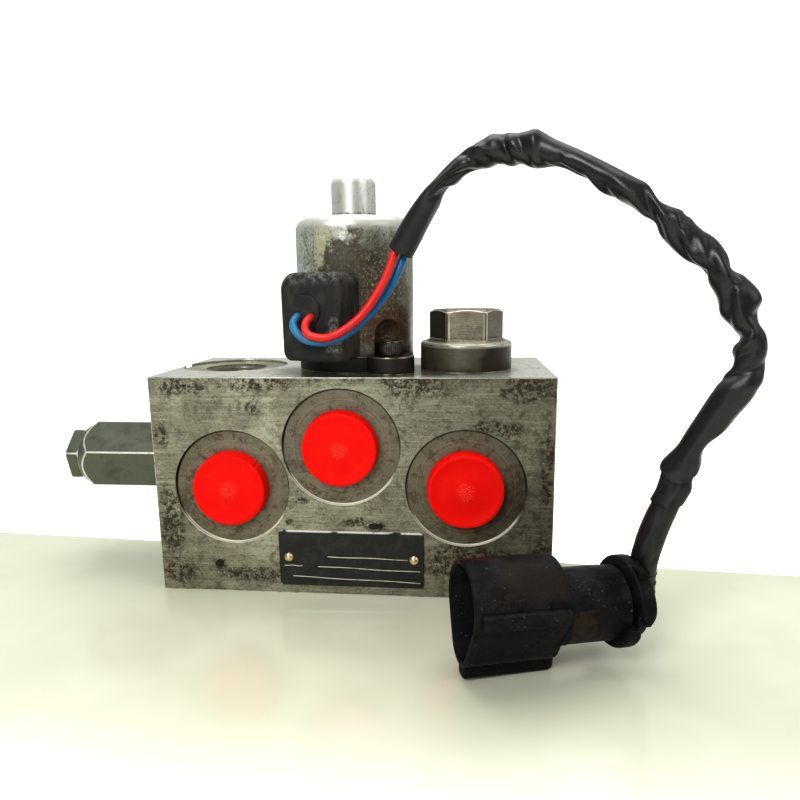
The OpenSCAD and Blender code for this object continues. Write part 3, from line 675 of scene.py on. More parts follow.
def can_zinc():
    """Zinc plated coil housing: a painted highlight above, painted shade down its right side, yellowed, with
    a large oil stain down its front.
    """
    f = Finish("can_zinc", (0.60, 0.62, 0.55), 0.30, 0.7)
    x, z = f.axis("X"), f.axis("Z")
    below_rim = f.step(z, 149, 145)
    shaded_right_side = f.step(x, -4, 10)
    f.blotches((0.33, 0.35, 0.28), 0.7, 0.42, 0.66, 7, 5, 0.65)
    # Painted shade down the right side below the rim, which is also made less metallic there.
    f.paint((0.20, 0.21, 0.15), f.both(shaded_right_side, below_rim), 0.6)
    f.vary("metal", 0.5, f.both(shaded_right_side, below_rim))
    # Painted highlight: the top paler.
    f.paint((0.58, 0.59, 0.55), f.step(z, 143, 149), 0.9)
    f.vary("rough", 0.42, f.step(z, 143, 149))
    f.paint((0.07, 0.07, 0.045), f.both(f.step(f.noise(1.0, 6, 0.8), 0.50, 0.60), below_rim), 0.8)
    yellow = f.both(f.patch((-10, -22, 132), (3.6, 16, 17), 1.0, 4), below_rim)
    broken = f.step(f.noise(1.5, 6, 0.8, shift=(0.2, 0, 0)), 0.38, 0.56)
    f.paint((0.50, 0.48, 0.25), f.both(yellow, broken), 0.85)
    f.vary("metal", 0.25, yellow, 0.8)
    stain = f.patch((1, -24, 126), (12, 20, 18), 0.75, 5, 0.12)
    stain = f.most(stain, f.patch((10, -24, 118), (18, 20, 24), 0.8, 6, 0.35))
    stain = f.both(stain, below_rim)
    f.paint((0.048, 0.036, 0.022), stain, 0.93)
    f.paint((0.16, 0.13, 0.08), f.both(stain, f.step(f.noise(1.2, 7, 0.85), 0.50, 0.60)), 0.85)
    streaks = f.noise(1.1, 6, 0.85, shift=(0.1, 0, 0))
    f.paint((0.40, 0.37, 0.26), f.both(f.both(stain, f.step(x, 0, 10)), f.step(streaks, 0.52, 0.60)), 0.85)
    f.vary("metal", 0.25, stain)
    f.vary("rough", 0.5, stain)
    rust = f.patch((16, -18, 107), (12, 14, 10), 0.6, 4)
    f.paint((0.07, 0.03, 0.012), f.both(rust, f.step(f.noise(3, 6, 0.75), 0.36, 0.52)), 0.9)
    pale_rust = f.step(f.noise(1.4, 6, 0.8, shift=(0.3, 0, 0)), 0.55, 0.63)
    f.paint((0.20, 0.12, 0.045), f.both(rust, pale_rust), 0.7)
    base_dirt = f.step(f.maths("ADD", z, f.scale(f.noise(4, 5), 10)), 106, 101)
    f.paint((0.025, 0.017, 0.010), base_dirt, 0.8)
    f.roughen(0.5, 0.5, 0.45, 0.7, 4, 5)
    f.bump(f.noise(1.0, 5, 0.75), 0.05)
    return f.done()


def tube_steel():
    """Bright turned tube with a dirt line where it enters the housing."""
    f = Finish("tube_steel", (0.70, 0.71, 0.67), 0.38, 0.75)
    f.blotches((0.45, 0.46, 0.40), 0.5, 0.48, 0.7, 5, 5, 0.65)
    f.blotches((0.16, 0.16, 0.11), f.step(f.axis("X"), -6, 6), 0.57, 0.63, 0.9, 6, 0.8)
    foot = f.step(f.maths("ADD", f.axis("Z"), f.scale(f.noise(2, 6, 0.75), 6)), 157.4, 155.6)
    f.paint((0.035, 0.026, 0.014), foot, 0.9)
    f.vary("metal", 0.3, foot)
    f.roughen(0.42, 0.6, 0.45, 0.65, 3, 5)
    f.bump(f.noise(0.5, 3, stretch=(0.2, 0.2, 3)), 0.012)
    return f.done()


def boot_rubber():
    """Old black rubber, with painted highlight patches along its top, and scuffed pale behind the wires."""
    f = Finish("boot_rubber", (0.011, 0.011, 0.010), 0.66)
    f.blotches((0.042, 0.039, 0.032), 0.75, 0.45, 0.66, 6, 6, 0.7)
    # Painted highlight: pale patches along the top.
    lit_top_patches = f.both(f.step(f.axis("Z"), 124, 128), f.step(f.noise(2.2, 6, 0.75), 0.42, 0.6))
    f.paint((0.16, 0.155, 0.135), lit_top_patches, 0.8)
    brown = f.both(f.step(f.axis("X"), -6, -1), f.step(f.noise(5, 4, stretch=(1, 1, 0.3)), 0.4, 0.6))
    f.paint((0.07, 0.05, 0.032), brown, 0.7)
    low_scuff = f.patch((-4.5, -38, 104), (4, 4, 4.5), 0.9, 2.2)
    scuffs = f.most(low_scuff, f.patch((-4, -38, 110), (2, 4, 3), 0.9, 1.5))
    f.paint((0.24, 0.24, 0.22), f.both(scuffs, f.step(f.noise(1.2, 4, 0.7), 0.42, 0.6)), 0.75)
    f.blotches((0.16, 0.15, 0.13), 0.5, 0.66, 0.74, 0.45, 3, 0.7)
    f.roughen(0.85, 0.6, 0.45, 0.65, 3, 5, 0.7)
    f.bump(f.noise(3.0, 5, 0.6), 0.25)
    f.bump(f.noise(0.5, 4, 0.7), 0.05)
    return f.done()


def wire_finish(name, colour, dark, pale):
    """Smooth insulation with a little dirt, paler where it leaves the boot."""
    f = Finish(name, colour, 0.36, Specular_IOR_Level=0.5)
    f.blotches(dark, 0.4, 0.5, 0.75, 5, 4)
    near_boot = f.step(f.axis("X"), -6, -15)
    f.paint(pale, near_boot, 0.5)
    dirt = f.step(f.noise(0.7, 4, 0.75), 0.60, 0.66)
    f.paint((0.03, 0.03, 0.03), f.both(f.most(near_boot, 0.25), dirt), 0.7)
    f.roughen(0.55, 0.6, 0.45, 0.7, 2, 3)
    f.bump(f.noise(1.2, 3), 0.03)
    return f.done()


def sleeve_pvc():
    """Glossy black PVC, a little dusty."""
    f = Finish("sleeve_pvc", (0.008, 0.009, 0.009), 0.34, Specular_IOR_Level=0.5)
    f.blotches((0.020, 0.023, 0.022), 0.7, 0.45, 0.7, 12, 4)
    f.blotches((0.10, 0.10, 0.095), 0.4, 0.68, 0.76, 0.6, 3, 0.7)
    f.roughen(0.46, 0.8, 0.42, 0.68, 7, 5, 0.65)
    f.vary("rough", 0.5, f.step(f.axis("X"), 36, 28), 0.8)
    f.bump(f.noise(1.6, 4, 0.6), 0.05)
    return f.done()


def connector_plastic():
    """Dusty black moulded plastic with a brown smear on the hood and the round body."""
    f = Finish("connector_plastic", (0.005, 0.005, 0.006), 0.5, Specular_IOR_Level=0.14)
    x, y, z = f.axis("X"), f.axis("Y"), f.axis("Z")
    dust = f.both(f.step(f.noise(9, 5, 0.65), 0.42, 0.68), f.step(z, 16, 32))
    f.paint((0.026, 0.026, 0.025), dust, 0.7)
    smear = f.both(f.step(x, 78.2, 78.8), f.step(x, 86.8, 86.0))
    smear = f.both(smear, f.both(f.step(z, 15.0, 16.0), f.step(z, 25.4, 24.6)))
    smear = f.both(smear, f.step(y, -80, -82))
    f.paint((0.034, 0.020, 0.012), f.both(smear, f.step(f.noise(3, 5, 0.7), 0.36, 0.5)), 0.85)
    f.paint((0.022, 0.016, 0.011), f.patch((66, -86, 34), (12, 12, 6), 0.9, 4), 0.8)
    f.paint((0.05, 0.018, 0.014), f.patch((46, -80, 38), (6, 6, 2), 0.6, 4), 0.8)
    specks = f.step(f.noise(0.9, 4, 0.75), 0.64, 0.69)
    f.paint((0.30, 0.30, 0.28), f.both(specks, f.step(f.noise(9, 3, shift=(0, 0.1, 0)), 0.47, 0.6)), 0.8)
    f.blotches((0.035, 0.034, 0.031), 0.5, 0.57, 0.66, 0.7, 5, 0.8, shift=(0, 0, 0.2))
    f.roughen(0.72, 0.7, 0.42, 0.65, 5, 5, 0.7)
    f.bump(f.noise(1.1, 5, 0.7), 0.05)
    return f.done()


# ---- Steel pieces ----

BLOCK_LOW, BLOCK_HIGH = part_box("valve_block")
CAN_AXIS = Vector((-1, 0)) * MM


def planes_at(place, slack):
    """How many of the block's outer planes a place is on, to within slack millimetres."""
    return sum(
        min(abs(place[i] - BLOCK_LOW[i]), abs(place[i] - BLOCK_HIGH[i])) < slack * MM for i in range(3)
    )


def block_edge(edge):
    """The block's outer edges and the rims of its spotfaces."""
    a, b = edge.verts[0].co, edge.verts[1].co
    slack = 0.01
    on_front = max(abs(v.y - BLOCK_LOW.y) for v in (a, b)) < slack * MM
    on_top = max(abs(v.z - BLOCK_HIGH.z) for v in (a, b)) < slack * MM
    return on_front or on_top or min(planes_at(a, slack), planes_at(b, slack)) >= 2


def dull_rims(block):
    """Keeps the worn finish to the outer edges: the spotface rims take the faces' finish, with its painted
    shade on their upper arcs and painted highlight on their lower arcs.
    """
    for face in block.data.polygons:
        if planes_at(face.center, 0.5) < 2:
            face.material_index = 0


def thread_ring(name, node_axis, mouth, length, root=12.08, crest=11.25, pitch=2.0):
    """The thread inside one port, from its mouth inwards."""
    place = Matrix.Translation(mouth) @ Vector(node_axis).to_track_quat("Z", "Y").to_matrix().to_4x4()
    bm = bmesh.new()
    steps, per_turn = 96, 8
    count = int(length / pitch * per_turn)

    def flank(height, angle):
        turn = (height / pitch + angle / FULL_TURN) % 1
        return root - 0.05 - (root - crest) * max(0.0, 1 - abs(turn - 0.5) * 3)

    loops = []
    for i in range(count + 1):
        height = -length * i / count
        loop = []
        for k in range(steps):
            angle = k / steps * FULL_TURN
            ends = min(1, 4 * i / count, 4 * (count - i) / count)
            r = root - (root - flank(height, angle)) * max(ends, 0.05)
            loop.append(bm.verts.new(around(place, r, angle, height)))
        loops.append(loop)
    shell = []
    for height in (-length, 0):
        shell.append([
            bm.verts.new(around(place, root, k / steps * FULL_TURN, height)) for k in range(steps)
        ])
    join_loops(bm, [*loops, *shell, loops[0]])
    return new_piece(name, bm, "valve", crisp=45)


def socket_screw(bm, x, y, base, tip):
    """One socket-head screw standing on its flange: knurled head, hexagon socket and shank."""
    head_r, head_h, mouth_r = 4.9, 6.0, 3.4
    half_across, socket_depth, ridges = 2.5, 3.2, 36
    place = Matrix.Translation((x * MM, y * MM, base * MM))
    back = place.inverted()

    def knurled(radius, angle, height):
        if 0.6 < height < head_h - 0.9 and radius > 4:
            return radius - 0.16 * (0.5 + 0.5 * math.cos(angle * ridges))
        return radius

    end = tip - base
    outside = [(0, end), (2.6, end), (3.0, end + 0.5), (3.0, 0), (4.6, 0.01), (4.85, 0.25)]
    outside += [(head_r, 0.6 + (head_h - 1.5) * i / 6) for i in range(7)]
    outside += rounded((head_r - 0.7, head_h - 0.7), 0.7, 0, 90)[1:]
    outside += [(mouth_r, head_h)]
    turn_profile(bm, outside, place, steps=144, shape=knurled)

    def turn_of(vert):
        flat = back @ vert.co
        return math.atan2(flat.y, flat.x)

    rim = [v for v in bm.verts if abs((back @ v.co).z - head_h * MM) < 1e-7
           and abs((back @ v.co).xy.length - mouth_r * MM) < 1e-6]
    rim.sort(key=turn_of)
    previous = rim
    for depth in (head_h, head_h - 0.3, head_h - socket_depth):
        loop = []
        for vert in rim:
            angle = turn_of(vert)
            sector = (angle + math.pi / 6) % (math.pi / 3) - math.pi / 6
            reach = half_across / math.cos(sector) + (0.25 if depth == head_h else 0)
            loop.append(bm.verts.new(around(place, reach, angle, depth)))
        join_loops(bm, [previous, loop])
        previous = loop
    bm.faces.new(previous)


def make_flange_screws():
    """Both flange screws as one piece, since they share a node."""
    low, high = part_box("flange_screws")
    bm = bmesh.new()
    reach = 4.9
    flange_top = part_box("base_flange")[1].z / MM
    for x, y in ((high.x / MM - reach, low.y / MM + reach), (low.x / MM + reach, high.y / MM - reach)):
        socket_screw(bm, x, y, flange_top, low.z / MM)
    return new_piece("flange_screws_finished", bm, "valve", ["flange_screws"], crisp=40)


def make_cap(node):
    """One red port cap: a tapered cup with a rim line, a moulding mark and a nicked edge."""
    low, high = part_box(node)
    centre = middle(node)
    face_y = low.y / MM
    depth = high.y / MM - face_y
    place = Matrix.Translation((centre.x, low.y, centre.z)) @ Matrix.Rotation(math.pi / 2, 4, "X")
    flange_r = (high.x - low.x) / MM / 2
    profile = [(0, 0.12), (0.5, 0.12), (0.9, 0.02), (1.3, 0.0), (3, 0.05), (3.2, 0.0), (9, 0), (13.3, 0)]
    profile += [(13.45, 0.09), (13.6, 0.09), (13.75, 0)]
    profile += rounded((flange_r - 0.95, -0.5), 0.5, 90, 8)
    profile += [(flange_r - 0.12, -4.4), (flange_r, -4.7), (flange_r, -5.15), (14.4, -5.2)]
    profile += [(14.4, -depth + 0.3), (14.1, -depth), (12.7, -depth), (12.55, -depth + 0.3)]
    profile += [(12.5, -2.2), (12.2, -2.0), (0, -2.0)]
    nick = math.radians({"cap_left": 42, "cap_middle": 60, "cap_right": 118}[node])

    def nicked(radius, angle, height):
        off = (angle - nick + math.pi) % FULL_TURN - math.pi
        if radius > 13.9 and height > -4.6:
            return radius - 0.5 * math.exp(-(off / 0.025) ** 2) - 0.14 * (0 < off < 0.6)
        return radius

    bm = bmesh.new()
    turn_profile(bm, profile, place, steps=240, shape=nicked)
    return new_piece(node + "_moulded", bm, frame["nodes"][node]["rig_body"], [node], crisp=50)


def make_nameplate():
    """A thin black plate with round corners, and four plain ruled lines with nothing written on them."""
    low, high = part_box("nameplate")
    bm = bmesh.new()
    width, height = (high.x - low.x) / MM, (high.z - low.z) / MM
    radius = 1.6
    outline = rounded_box(-width / 2, width / 2, -height / 2, height / 2, radius, 5)
    centre = middle("nameplate") / MM
    layers = ((high.y / MM, 0), (low.y / MM + 0.15, 0), (low.y / MM, 0.15))
    loops = []
    for y, inset in layers:
        loop = []
        for x, z in outline:
            shrink_x = 1 - 2 * inset / width
            shrink_z = 1 - 2 * inset / height
            loop.append(bm.verts.new(Vector((centre.x + x * shrink_x, y, centre.z + z * shrink_z)) * MM))
        loops.append(loop)
    solid(bm, loops)
    new_piece("nameplate_plate", bm, "valve", ["nameplate"], crisp=30, weighted=True)
    rules = bmesh.new()
    behind, ahead = low.y / MM + 0.02, low.y / MM - 0.05
    half = 0.17
    section = ((behind, -half), (ahead, -half), (ahead, half), (behind, half))
    parts = 24
    for x1, x2, z1, z2 in ((-9.5, 23, 16.7, 16.2), (-27.5, -20, 12.6, 12.5), (-13.5, 28, 12.4, 11.2),
                           (-24, 28, 7.9, 6.4)):
        for i in range(parts):
            a, b = i / parts, (i + 1) / parts
            wave_a = 0.12 * math.sin(x1 + 9 * a)
            wave_b = 0.12 * math.sin(x1 + 9 * b)
            ends = [(x1 + (x2 - x1) * t, z1 + (z2 - z1) * t + w) for t, w in ((a, wave_a), (b, wave_b))]
            corners = []
            for x, z in ends:
                corners.append([rules.verts.new(Vector((x, y, z + dz)) * MM) for y, dz in section])
            join_loops(rules, corners)
            if i == 0:
                rules.faces.new(corners[0][::-1])
            if i == parts - 1:
                rules.faces.new(corners[1])
    bmesh.ops.remove_doubles(rules, verts=rules.verts, dist=0.001 * MM)
    return new_piece("nameplate_rules", rules, "valve", crisp=40)


def make_grommet():
    """The wires' round grommet, a low disc with a soft rim."""
    centre = middle("boot_grommet")
    turn = math.radians(-20)
    outward = Vector((math.sin(turn), -math.cos(turn), 0))
    facing = outward.to_track_quat("Z", "Y").to_matrix().to_4x4()
    place = Matrix.Translation(centre - outward * 0.45 * MM) @ facing
    profile = [(0, 0.95), (2, 0.9), (5.2, 0.9), *rounded((5.7, 0.3), 0.6, 80, 0), (6.3, -0.4), (0, -0.4)]
    bm = bmesh.new()
    turn_profile(bm, profile, place, steps=72)
    return new_piece("boot_grommet_disc", bm, "valve", ["boot_grommet"], crisp=60)


def make_boot():
    """The rubber boot: a box with soft edges, fuller at the middle of its face, against the housing."""
    place = Matrix.Translation((CAN_AXIS.x, 0, 0)) @ Matrix.Rotation(math.radians(-20), 4, "Z")
    outline = []
    for cx, cz, radius, start in ((10, 126.9, 3, 0), (-7.5, 123.4, 6.5, 90),
                                  (-10.4, 99.2, 3.4, 180), (10, 98.8, 3, 270)):
        outline += rounded((cx, cz), radius, start, start + 90, 8)
    mid_x, mid_z = 0.0, 113.8
    layers = [(-21.0, 0.0), (-27.0, 0.0), (-32.6, 0.0)]
    turns = [math.radians(90 - 15 * k) for k in range(7)]
    layers += [(-36.0 + 2.3 * (1 - math.cos(a)), 2.3 * (1 - math.sin(a))) for a in turns]
    bm = bmesh.new()
    loops = []
    for y, inset in layers:
        loop = []
        for x, z in outline:
            reach_x, reach_z = x - mid_x, z - mid_z
            size_x, size_z = 1 - inset / 13, 1 - inset / 16.5
            there = Vector((mid_x + reach_x * size_x, y, mid_z + reach_z * size_z))
            loop.append(bm.verts.new(place @ (there * MM)))
        loops.append(loop)
    for size in (0.72, 0.5, 0.25):
        last = layers[-1][1]
        loop = []
        for x, z in outline:
            reach_x = (x - mid_x) * (1 - last / 13) * size
            reach_z = (z - mid_z) * (1 - last / 16.5) * size
            loop.append(bm.verts.new(place @ (Vector((mid_x + reach_x, -36.0, mid_z + reach_z)) * MM)))
        loops.append(loop)
    solid(bm, loops)
    return new_piece("terminal_boot_moulded", bm, "valve", ["terminal_boot"], crisp=60)


# ---- Connector ----

CONNECTOR = (Matrix.Translation((44.5 * MM, -87 * MM, 0)) @ Matrix.Rotation(math.radians(18), 4, "Z")
             @ Matrix.Translation((30 * MM, 0, 0)) @ Matrix.Rotation(math.radians(2.5), 4, "Y")
             @ Matrix.Translation((-30 * MM, 0, 0)))
AXIS_Z = 21.5
CONNECTOR_AXIS = CONNECTOR @ Matrix.Translation((0, 0, AXIS_Z * MM)) @ Matrix.Rotation(math.pi / 2, 4, "Y")


def connector_place(along, sideways, up):
    return CONNECTOR @ (Vector((along, sideways, up)) * MM)


def egg_outline(inset, count=120):
    """The hood's section: a wide round top over a narrower round bottom, as (sideways, up)."""
    top_r, top_z = 13.5 - inset, 25.2
    low_r, low_z = 8.2 - inset, 12.7
    slope = math.asin((top_r - low_r) / (top_z - low_z))
    points = []
    for i in range(count):
        angle = -slope + (math.pi + 2 * slope) * i / (count - 1)
        points.append((top_r * math.cos(angle), top_z + top_r * math.sin(angle)))
    for i in range(count // 2):
        angle = math.pi + slope + (math.pi - 2 * slope) * i / (count // 2 - 1)
        points.append((low_r * math.cos(angle), low_z + low_r * math.sin(angle)))
    return points


def connector_loop(bm, points, along):
    return [bm.verts.new(connector_place(along, x, z)) for x, z in points]


def bar(bm, outline, stations):
    """A closed bar along the connector with that outline, shrunk about its middle at each station."""
    mid_x = sum(p[0] for p in outline) / len(outline)
    mid_z = sum(p[1] for p in outline) / len(outline)
    loops = []
    for along, size in stations:
        shrunk = [(mid_x + (x - mid_x) * size, mid_z + (z - mid_z) * size) for x, z in outline]
        loops.append(connector_loop(bm, shrunk, along))
    solid(bm, loops)


def rounded_box(x1, x2, z1, z2, radius, steps=3):
    points = []
    for cx, cz, start in ((x2 - radius, z2 - radius, 0), (x1 + radius, z2 - radius, 90),
                          (x1 + radius, z1 + radius, 180), (x2 - radius, z1 + radius, 270)):
        points += rounded((cx, cz), radius, start, start + 90, steps)
    return points


def make_connector_shell():
    """Hood, ledges, guide rail and round body of the connector, in one moulding."""
    bm = bmesh.new()
    outside = [(-1.5, 0.55), (-1.38, 0.25), (-1.0, 0.0), (28.4, 0.0), (29.2, 0.3), (29.6, 1.1)]
    inside = [(-1.5, 1.05), (-1.35, 1.5), (-0.9, 1.7), (8, 1.8), (24, 2.1)]
    loops = [connector_loop(bm, egg_outline(inset), along) for along, inset in inside[::-1]]
    loops += [connector_loop(bm, egg_outline(inset), along) for along, inset in outside]
    solid(bm, loops)
    profile = [(0, 28.8), (12.1, 28.8), (12.2, 30.2), (12.2, 31.5), (12.0, 31.8), (12.0, 47.5), (11.8, 47.8),
               (11.8, 51.6), (9.1, 51.9), (9.1, 36), (0, 36)]
    turn_profile(bm, profile, CONNECTOR_AXIS, steps=120)
    for side in (-1, 1):
        ledge = [(side * x, z) for x, z in rounded_box(12.0, 15.2, 23.0, 27.8, 0.7)][::side]
        bar(bm, ledge, [(0.6, 0.9), (1.0, 1), (28.4, 1), (28.8, 0.93)])
    rail = rounded_box(-2.6, 2.6, 0.0, 5.6, 1.4, 4)
    bar(bm, rail, [(-0.4, 0.82), (0.1, 1.0), (28.4, 1.0), (29.6, 0.9), (30.3, 0.72), (30.6, 0.45)])
    return new_piece("connector_shell", bm, "valve", ["connector_housing"], crisp=38)


def lobe(bm, start, end, inner, outer, back, front, ends=6):
    """Part of a ring round the connector's axis, rounded at its rims and at both ends."""
    steps = 48
    section = rounded_box(inner, outer, back, front, 1.3, 4)
    mid_r, mid_u = (inner + outer) / 2, (back + front) / 2
    loops = []
    for i in range(steps + 1):
        angle = math.radians(start + (end - start) * i / steps)
        to_end = min(i, steps - i)
        size = math.sqrt(1 - (1 - to_end / ends) ** 2) if to_end < ends else 1
        size = max(size, 0.35)
        loop = []
        for r, u in section:
            radius = mid_r + (r - mid_r) * (0.6 + 0.4 * size)
            along = mid_u + (u - mid_u) * size
            sideways, up = radius * math.cos(angle), AXIS_Z + radius * math.sin(angle)
            loop.append(bm.verts.new(connector_place(along, sideways, up)))
        loops.append(loop)
    solid(bm, loops)


def make_rear_clamp():
    """The rear ring: a large upper lobe, a shorter lower one, a thin collar and a strap loop."""
    bm = bmesh.new()
    lobe(bm, -4, 188, 10.8, 14.8, 53.0, 58.6)
    lobe(bm, 193, 344, 10.8, 14.6, 49.2, 54.8)
    profile = [(9.0, 53.4), (11.8, 53.4), *rounded((12.0, 53.8), 0.4, 270, 360, 3), (12.4, 55.5),
               (11.6, 57.4), (9.0, 57.4), (9.0, 53.4)]
    turn_profile(bm, profile, CONNECTOR_AXIS, steps=96)
    strap = [(-7.6, 13.2), (-7.6, 15.0), (-7.2, 15.4), (-3.6, 15.4), (-3.2, 15.0), (-3.2, 13.8),
             (-3.9, 13.8), (-3.9, 14.7), (-6.9, 14.7), (-6.9, 13.2)]
    shifted = [(x - 2, AXIS_Z + z - abs(x - 2) * 0.12) for x, z in strap]
    loops = [connector_loop(bm, shifted, along) for along in (53.8, 54.0, 57.4, 57.6)]
    solid(bm, loops)
    return new_piece("rear_clamp", bm, "valve", ["rear_cover"], crisp=42)


def make_elbow():
    """The boot that leads the sleeve out of the connector's back and upwards."""
    sides = 40
    start = connector_place(55, 0, AXIS_Z)
    bend = connector_place(61.0, 0, AXIS_Z - 0.2)
    end = Vector((0.1042, -0.0676, 0.03))
    line, _ = even_line([start, bend, end], 0.8 * MM)
    tangents = np.gradient(line, axis=0)
    bm = bmesh.new()
    loops = []
    for i, (place, way) in enumerate(zip(line, tangents)):
        turned = Vector(way).to_track_quat("Z", "Y").to_matrix()
        reach = (4.4 + 0.3 * (i % 4 == 0)) * MM
        turns = [k * FULL_TURN / sides for k in range(sides)]
        spokes = [Vector((reach * math.cos(turn), reach * math.sin(turn), 0)) for turn in turns]
        loops.append([bm.verts.new(Vector(place) + turned @ spoke) for spoke in spokes])
    solid(bm, loops)
    return new_piece("connector_elbow_boot", bm, "valve", ["connector_elbow"], crisp=60)


# ---- Stage ----

def make_stage():
    """A plain pale table whose far edge lies just behind the block, and soft white light."""
    f = Finish("table", (0.58, 0.59, 0.47), 0.13, Specular_IOR_Level=0.5)
    f.blotches((0.65, 0.66, 0.56), 0.5, 0.4, 0.7, 60, 3)
    f.blotches((0.30, 0.30, 0.20), 0.5, 0.68, 0.72, 2.2, 5, 0.8)
    # Painted light: the table fades to near white towards the front, as glare.
    f.paint((1.0, 1.0, 0.95), f.step(f.axis("Y"), -95, -190), 0.9)
    slanted = f.maths("MULTIPLY_ADD", f.axis("X"), 0.063, f.axis("Y"))
    beyond = f.step(slanted, 7.4, 8.4)
    f.paint((0.9, 0.9, 0.9), beyond)
    f.vary("rough", 1.0, beyond)
    f.put(f.shader.inputs["Emission Color"], (1, 1, 1, 1))
    f.put(f.shader.inputs["Emission Strength"], f.scale(beyond, 0.62))
    table = f.done()
    bm = bmesh.new()
    bmesh.ops.create_grid(bm, x_segments=1, y_segments=1, size=3)
    mesh = bpy.data.meshes.new("floor")
    bm.to_mesh(mesh)
    bm.free()
    mesh.materials.append(table)
    floor = add_object("floor", mesh)


def make_room():
    """A white room, bright behind and above and dimmer in front; the camera sees it plain white."""
    world = bpy.data.worlds.new("room")
    bpy.context.scene.world = world
    world.use_nodes = True
    nodes, links = world.node_tree.nodes, world.node_tree.links
    backdrop = nodes["Background"]
    backdrop.inputs["Color"].default_value = (1, 1, 1, 1)
    backdrop.inputs["Strength"].default_value = 1.05
    room = nodes.new("ShaderNodeBackground")
    room.inputs["Color"].default_value = (0.97, 1.0, 0.96, 1)
    way = nodes.new("ShaderNodeTexCoord")
    parts = nodes.new("ShaderNodeSeparateXYZ")
    links.new(way.outputs["Generated"], parts.inputs[0])
    strength = nodes.new("ShaderNodeMath")
    strength.operation = "MULTIPLY"
    for factor, (axis, ramp) in enumerate((("Y", (-0.9, 0.6, 0.16, 0.60)), ("Z", (-0.3, 0.8, 0.35, 1.25)))):
        brighter = nodes.new("ShaderNodeMapRange")
        brighter.interpolation_type = "SMOOTHSTEP"
        links.new(parts.outputs[axis], brighter.inputs[0])
        for socket, value in zip(list(brighter.inputs)[1:5], ramp):
            socket.default_value = value
        links.new(brighter.outputs[0], strength.inputs[factor])
    links.new(strength.outputs[0], room.inputs["Strength"])
    seen = nodes.new("ShaderNodeLightPath")
    mixed = nodes.new("ShaderNodeMixShader")
    links.new(seen.outputs["Is Camera Ray"], mixed.inputs[0])
    links.new(room.outputs[0], mixed.inputs[1])
    links.new(backdrop.outputs[0], mixed.inputs[2])
    links.new(mixed.outputs[0], nodes["World Output"].inputs["Surface"])


# Lamps: name, place, what it points at, width, height, power. The strip draws the highlights
# down the round parts.
LAMPS = [
    ("key", (-0.30, -0.75, 0.70), (0.02, -0.02, 0.06), 0.35, 0.35, 5.0),
    ("fill", (0.7, -0.4, 0.5), (0.02, -0.02, 0.06), 0.5, 0.5, 1.5),
    ("overhead", (0.0, 0.15, 0.9), (0.02, -0.02, 0.06), 0.8, 0.8, 4.5),
    ("strip", (-0.22, -1.0, 0.35), (0.0, 0.0, 0.10), 0.22, 1.0, 1.5),
]


def make_light():
    """The room, its lamps and the picture's brightness."""
    make_room()
    for name, place, target, width, height, power in LAMPS:
        data = bpy.data.lights.new(name, "AREA")
        data.size = width
        if height != width:
            data.shape = "RECTANGLE"
            data.size_y = height
        data.energy = power
        lamp = add_object(name, data)
        lamp.location = place
        lamp.rotation_euler = (Vector(target) - Vector(place)).to_track_quat("-Z", "Y").to_euler()
    picture = bpy.context.scene.view_settings
    picture.view_transform = "Standard"
    picture.exposure = 0.35
    picture.gamma = 0.8


def wear(piece, *materials):
    """Gives a piece its finishes in place, because emptying the slots would forget which face has which."""
    slots = piece.data.materials
    while len(slots) > len(materials):
        slots.pop()
    for i, material in enumerate(materials):
        if i < len(slots):
            slots[i] = material
        else:
            slots.append(material)


# Finishes of the pieces inside: colour, roughness, colour of the blotches, then what differs
INNER_METALS = {
    "ground_steel": ((0.60, 0.60, 0.57), 0.25, (0.35, 0.34, 0.30)),
    "iron": ((0.38, 0.38, 0.36), 0.4, (0.2, 0.19, 0.17)),
    "seal_rubber": ((0.012, 0.012, 0.012), 0.5, (0.03, 0.03, 0.03), 0.0),
    "spring_steel": ((0.45, 0.45, 0.47), 0.3, (0.25, 0.25, 0.25)),
    "bobbin_plastic": ((0.02, 0.02, 0.02), 0.45, (0.04, 0.04, 0.04), 0.0),
    "copper": ((0.62, 0.25, 0.10), 0.35, (0.35, 0.12, 0.05), 0.9, 5, 0.03, (0.05, 0.05, 4)),
    "terminal_metal": ((0.62, 0.55, 0.36), 0.3, (0.35, 0.28, 0.15)),
}


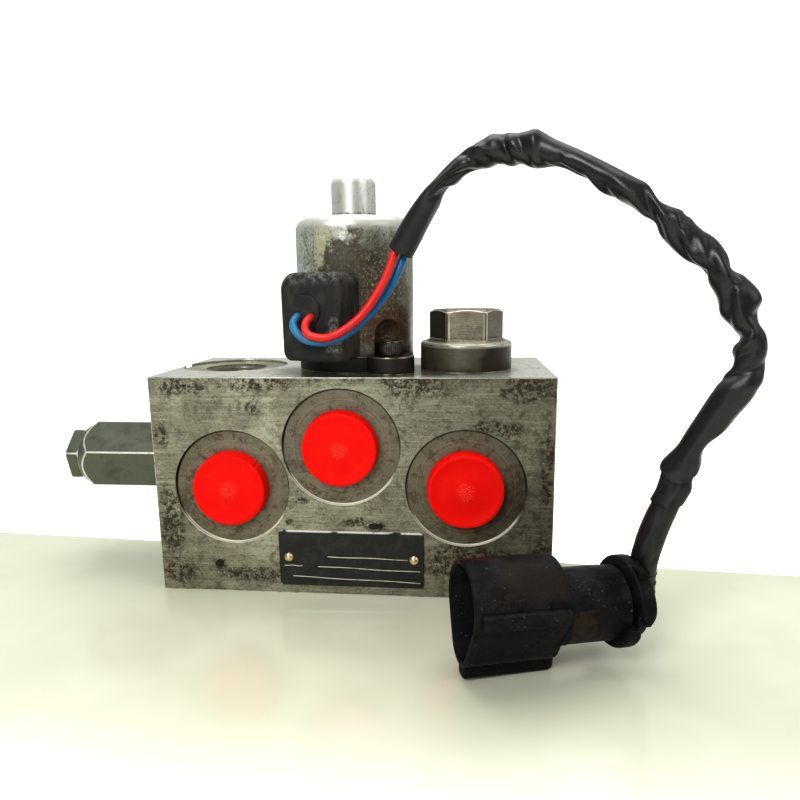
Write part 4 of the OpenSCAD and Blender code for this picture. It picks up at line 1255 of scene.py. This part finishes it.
def build():
    make_camera()
    red_wire = make_wire("wire_red", WIRE_RED_ROUTE)
    blue_wire = make_wire("wire_blue", WIRE_BLUE_ROUTE)
    connector = make_connector_shell()
    clamp = make_rear_clamp()
    elbow = make_elbow()
    sleeve = make_sleeve()
    make_stage()
    make_light()

    steel = block_steel()
    edge = worn_edge("block_edge")
    block = refined("valve_block", 0.35, block_edge)
    dull_rims(block)
    wear(block, steel, edge)
    bright = plain_metal("thread_steel", (0.45, 0.44, 0.38), 0.32, (0.16, 0.13, 0.08), size=4)
    top_wall = Vector((-57.4, 5.6, 87.6)) * MM
    wear(thread_ring("top_port_thread", (0, 0, 1), top_wall, 16), bright)
    for name, node in (("left", "cap_left"), ("middle", "cap_middle"), ("right", "cap_right")):
        centre = middle(node)
        mouth = Vector((centre.x, -29.6 * MM, centre.z))
        wear(thread_ring(name + "_port_thread", (0, -1, 0), mouth, 16), bright)

    red = cap_red()
    for node in ("cap_left", "cap_middle", "cap_right"):
        wear(make_cap(node), red)
    rules = make_nameplate()
    wear(bpy.data.objects["nameplate_plate"], plate_black())
    wear(rules, plain_metal("plate_rules", (0.78, 0.77, 0.70), 0.3, (0.12, 0.11, 0.09), size=3))
    brass = plain_metal("brass", (0.80, 0.66, 0.38), 0.25, (0.30, 0.22, 0.10), size=2)
    wear(frame["nodes"]["nameplate_rivets"], brass)

    flange_edge = worn_edge("flange_edge", (0.42, 0.38, 0.30), (0.05, 0.03, 0.015))
    flange = plain_metal("flange_steel", (0.014, 0.011, 0.007), 0.5, (0.045, 0.02, 0.008), 0.2)
    wear(refined("base_flange", 0.5), flange, flange_edge)
    screw = plain_metal("screw_steel", (0.10, 0.09, 0.075), 0.28, (0.02, 0.015, 0.01), size=2)
    wear(make_flange_screws(), screw)
    zinc = can_zinc()
    wear(refined("solenoid_can", 0.35), zinc, zinc)
    tube = tube_steel()
    wear(refined("core_tube", 0.2), tube, tube)

    rubber = boot_rubber()
    wear(make_boot(), rubber)
    wear(elbow, rubber)
    wear(make_grommet(), rubber)
    wear(red_wire, wire_finish("wire_red", (0.60, 0.009, 0.006), (0.34, 0.004, 0.003), (0.66, 0.04, 0.03)))
    wear(blue_wire, wire_finish("wire_blue", (0.004, 0.13, 0.31), (0.002, 0.06, 0.15), (0.05, 0.23, 0.38)))
    wear(sleeve, sleeve_pvc())
    plastic = connector_plastic()
    wear(connector, plastic)
    wear(clamp, plastic)

    plug = plug_steel()
    plug_edge = worn_edge("plug_edge", (0.62, 0.60, 0.52), (0.2, 0.17, 0.12))
    wear(refined("top_plug", 0.3), plug, plug_edge)
    relief = plain_metal("relief_steel", (0.15, 0.16, 0.125), 0.34, (0.07, 0.07, 0.048), 0.6, 9, 0.02)
    # The relief valve's edges are worn bare metal, made brighter as a painted highlight.
    relief_worn_and_highlit_edge = worn_edge("relief_worn_and_highlit_edge", (0.82, 0.84, 0.78), (0.5, 0.52, 0.46))
    wear(refined("relief_body", 0.5), relief, relief_worn_and_highlit_edge)
    wear(refined("cap_nut", 0.45), relief, relief_worn_and_highlit_edge)

    inner = {name: plain_metal(name, *look) for name, look in INNER_METALS.items()}
    inner.update({"plug_steel": plug, "boot_rubber": rubber})
    slots = {s["node"]: s["material_slot"] for s in frame["record"]["subparts"]}
    for node, piece in frame["nodes"].items():
        if not piece.hide_render and slots[node] in inner:
            wear(piece, inner[slots[node]])


build()
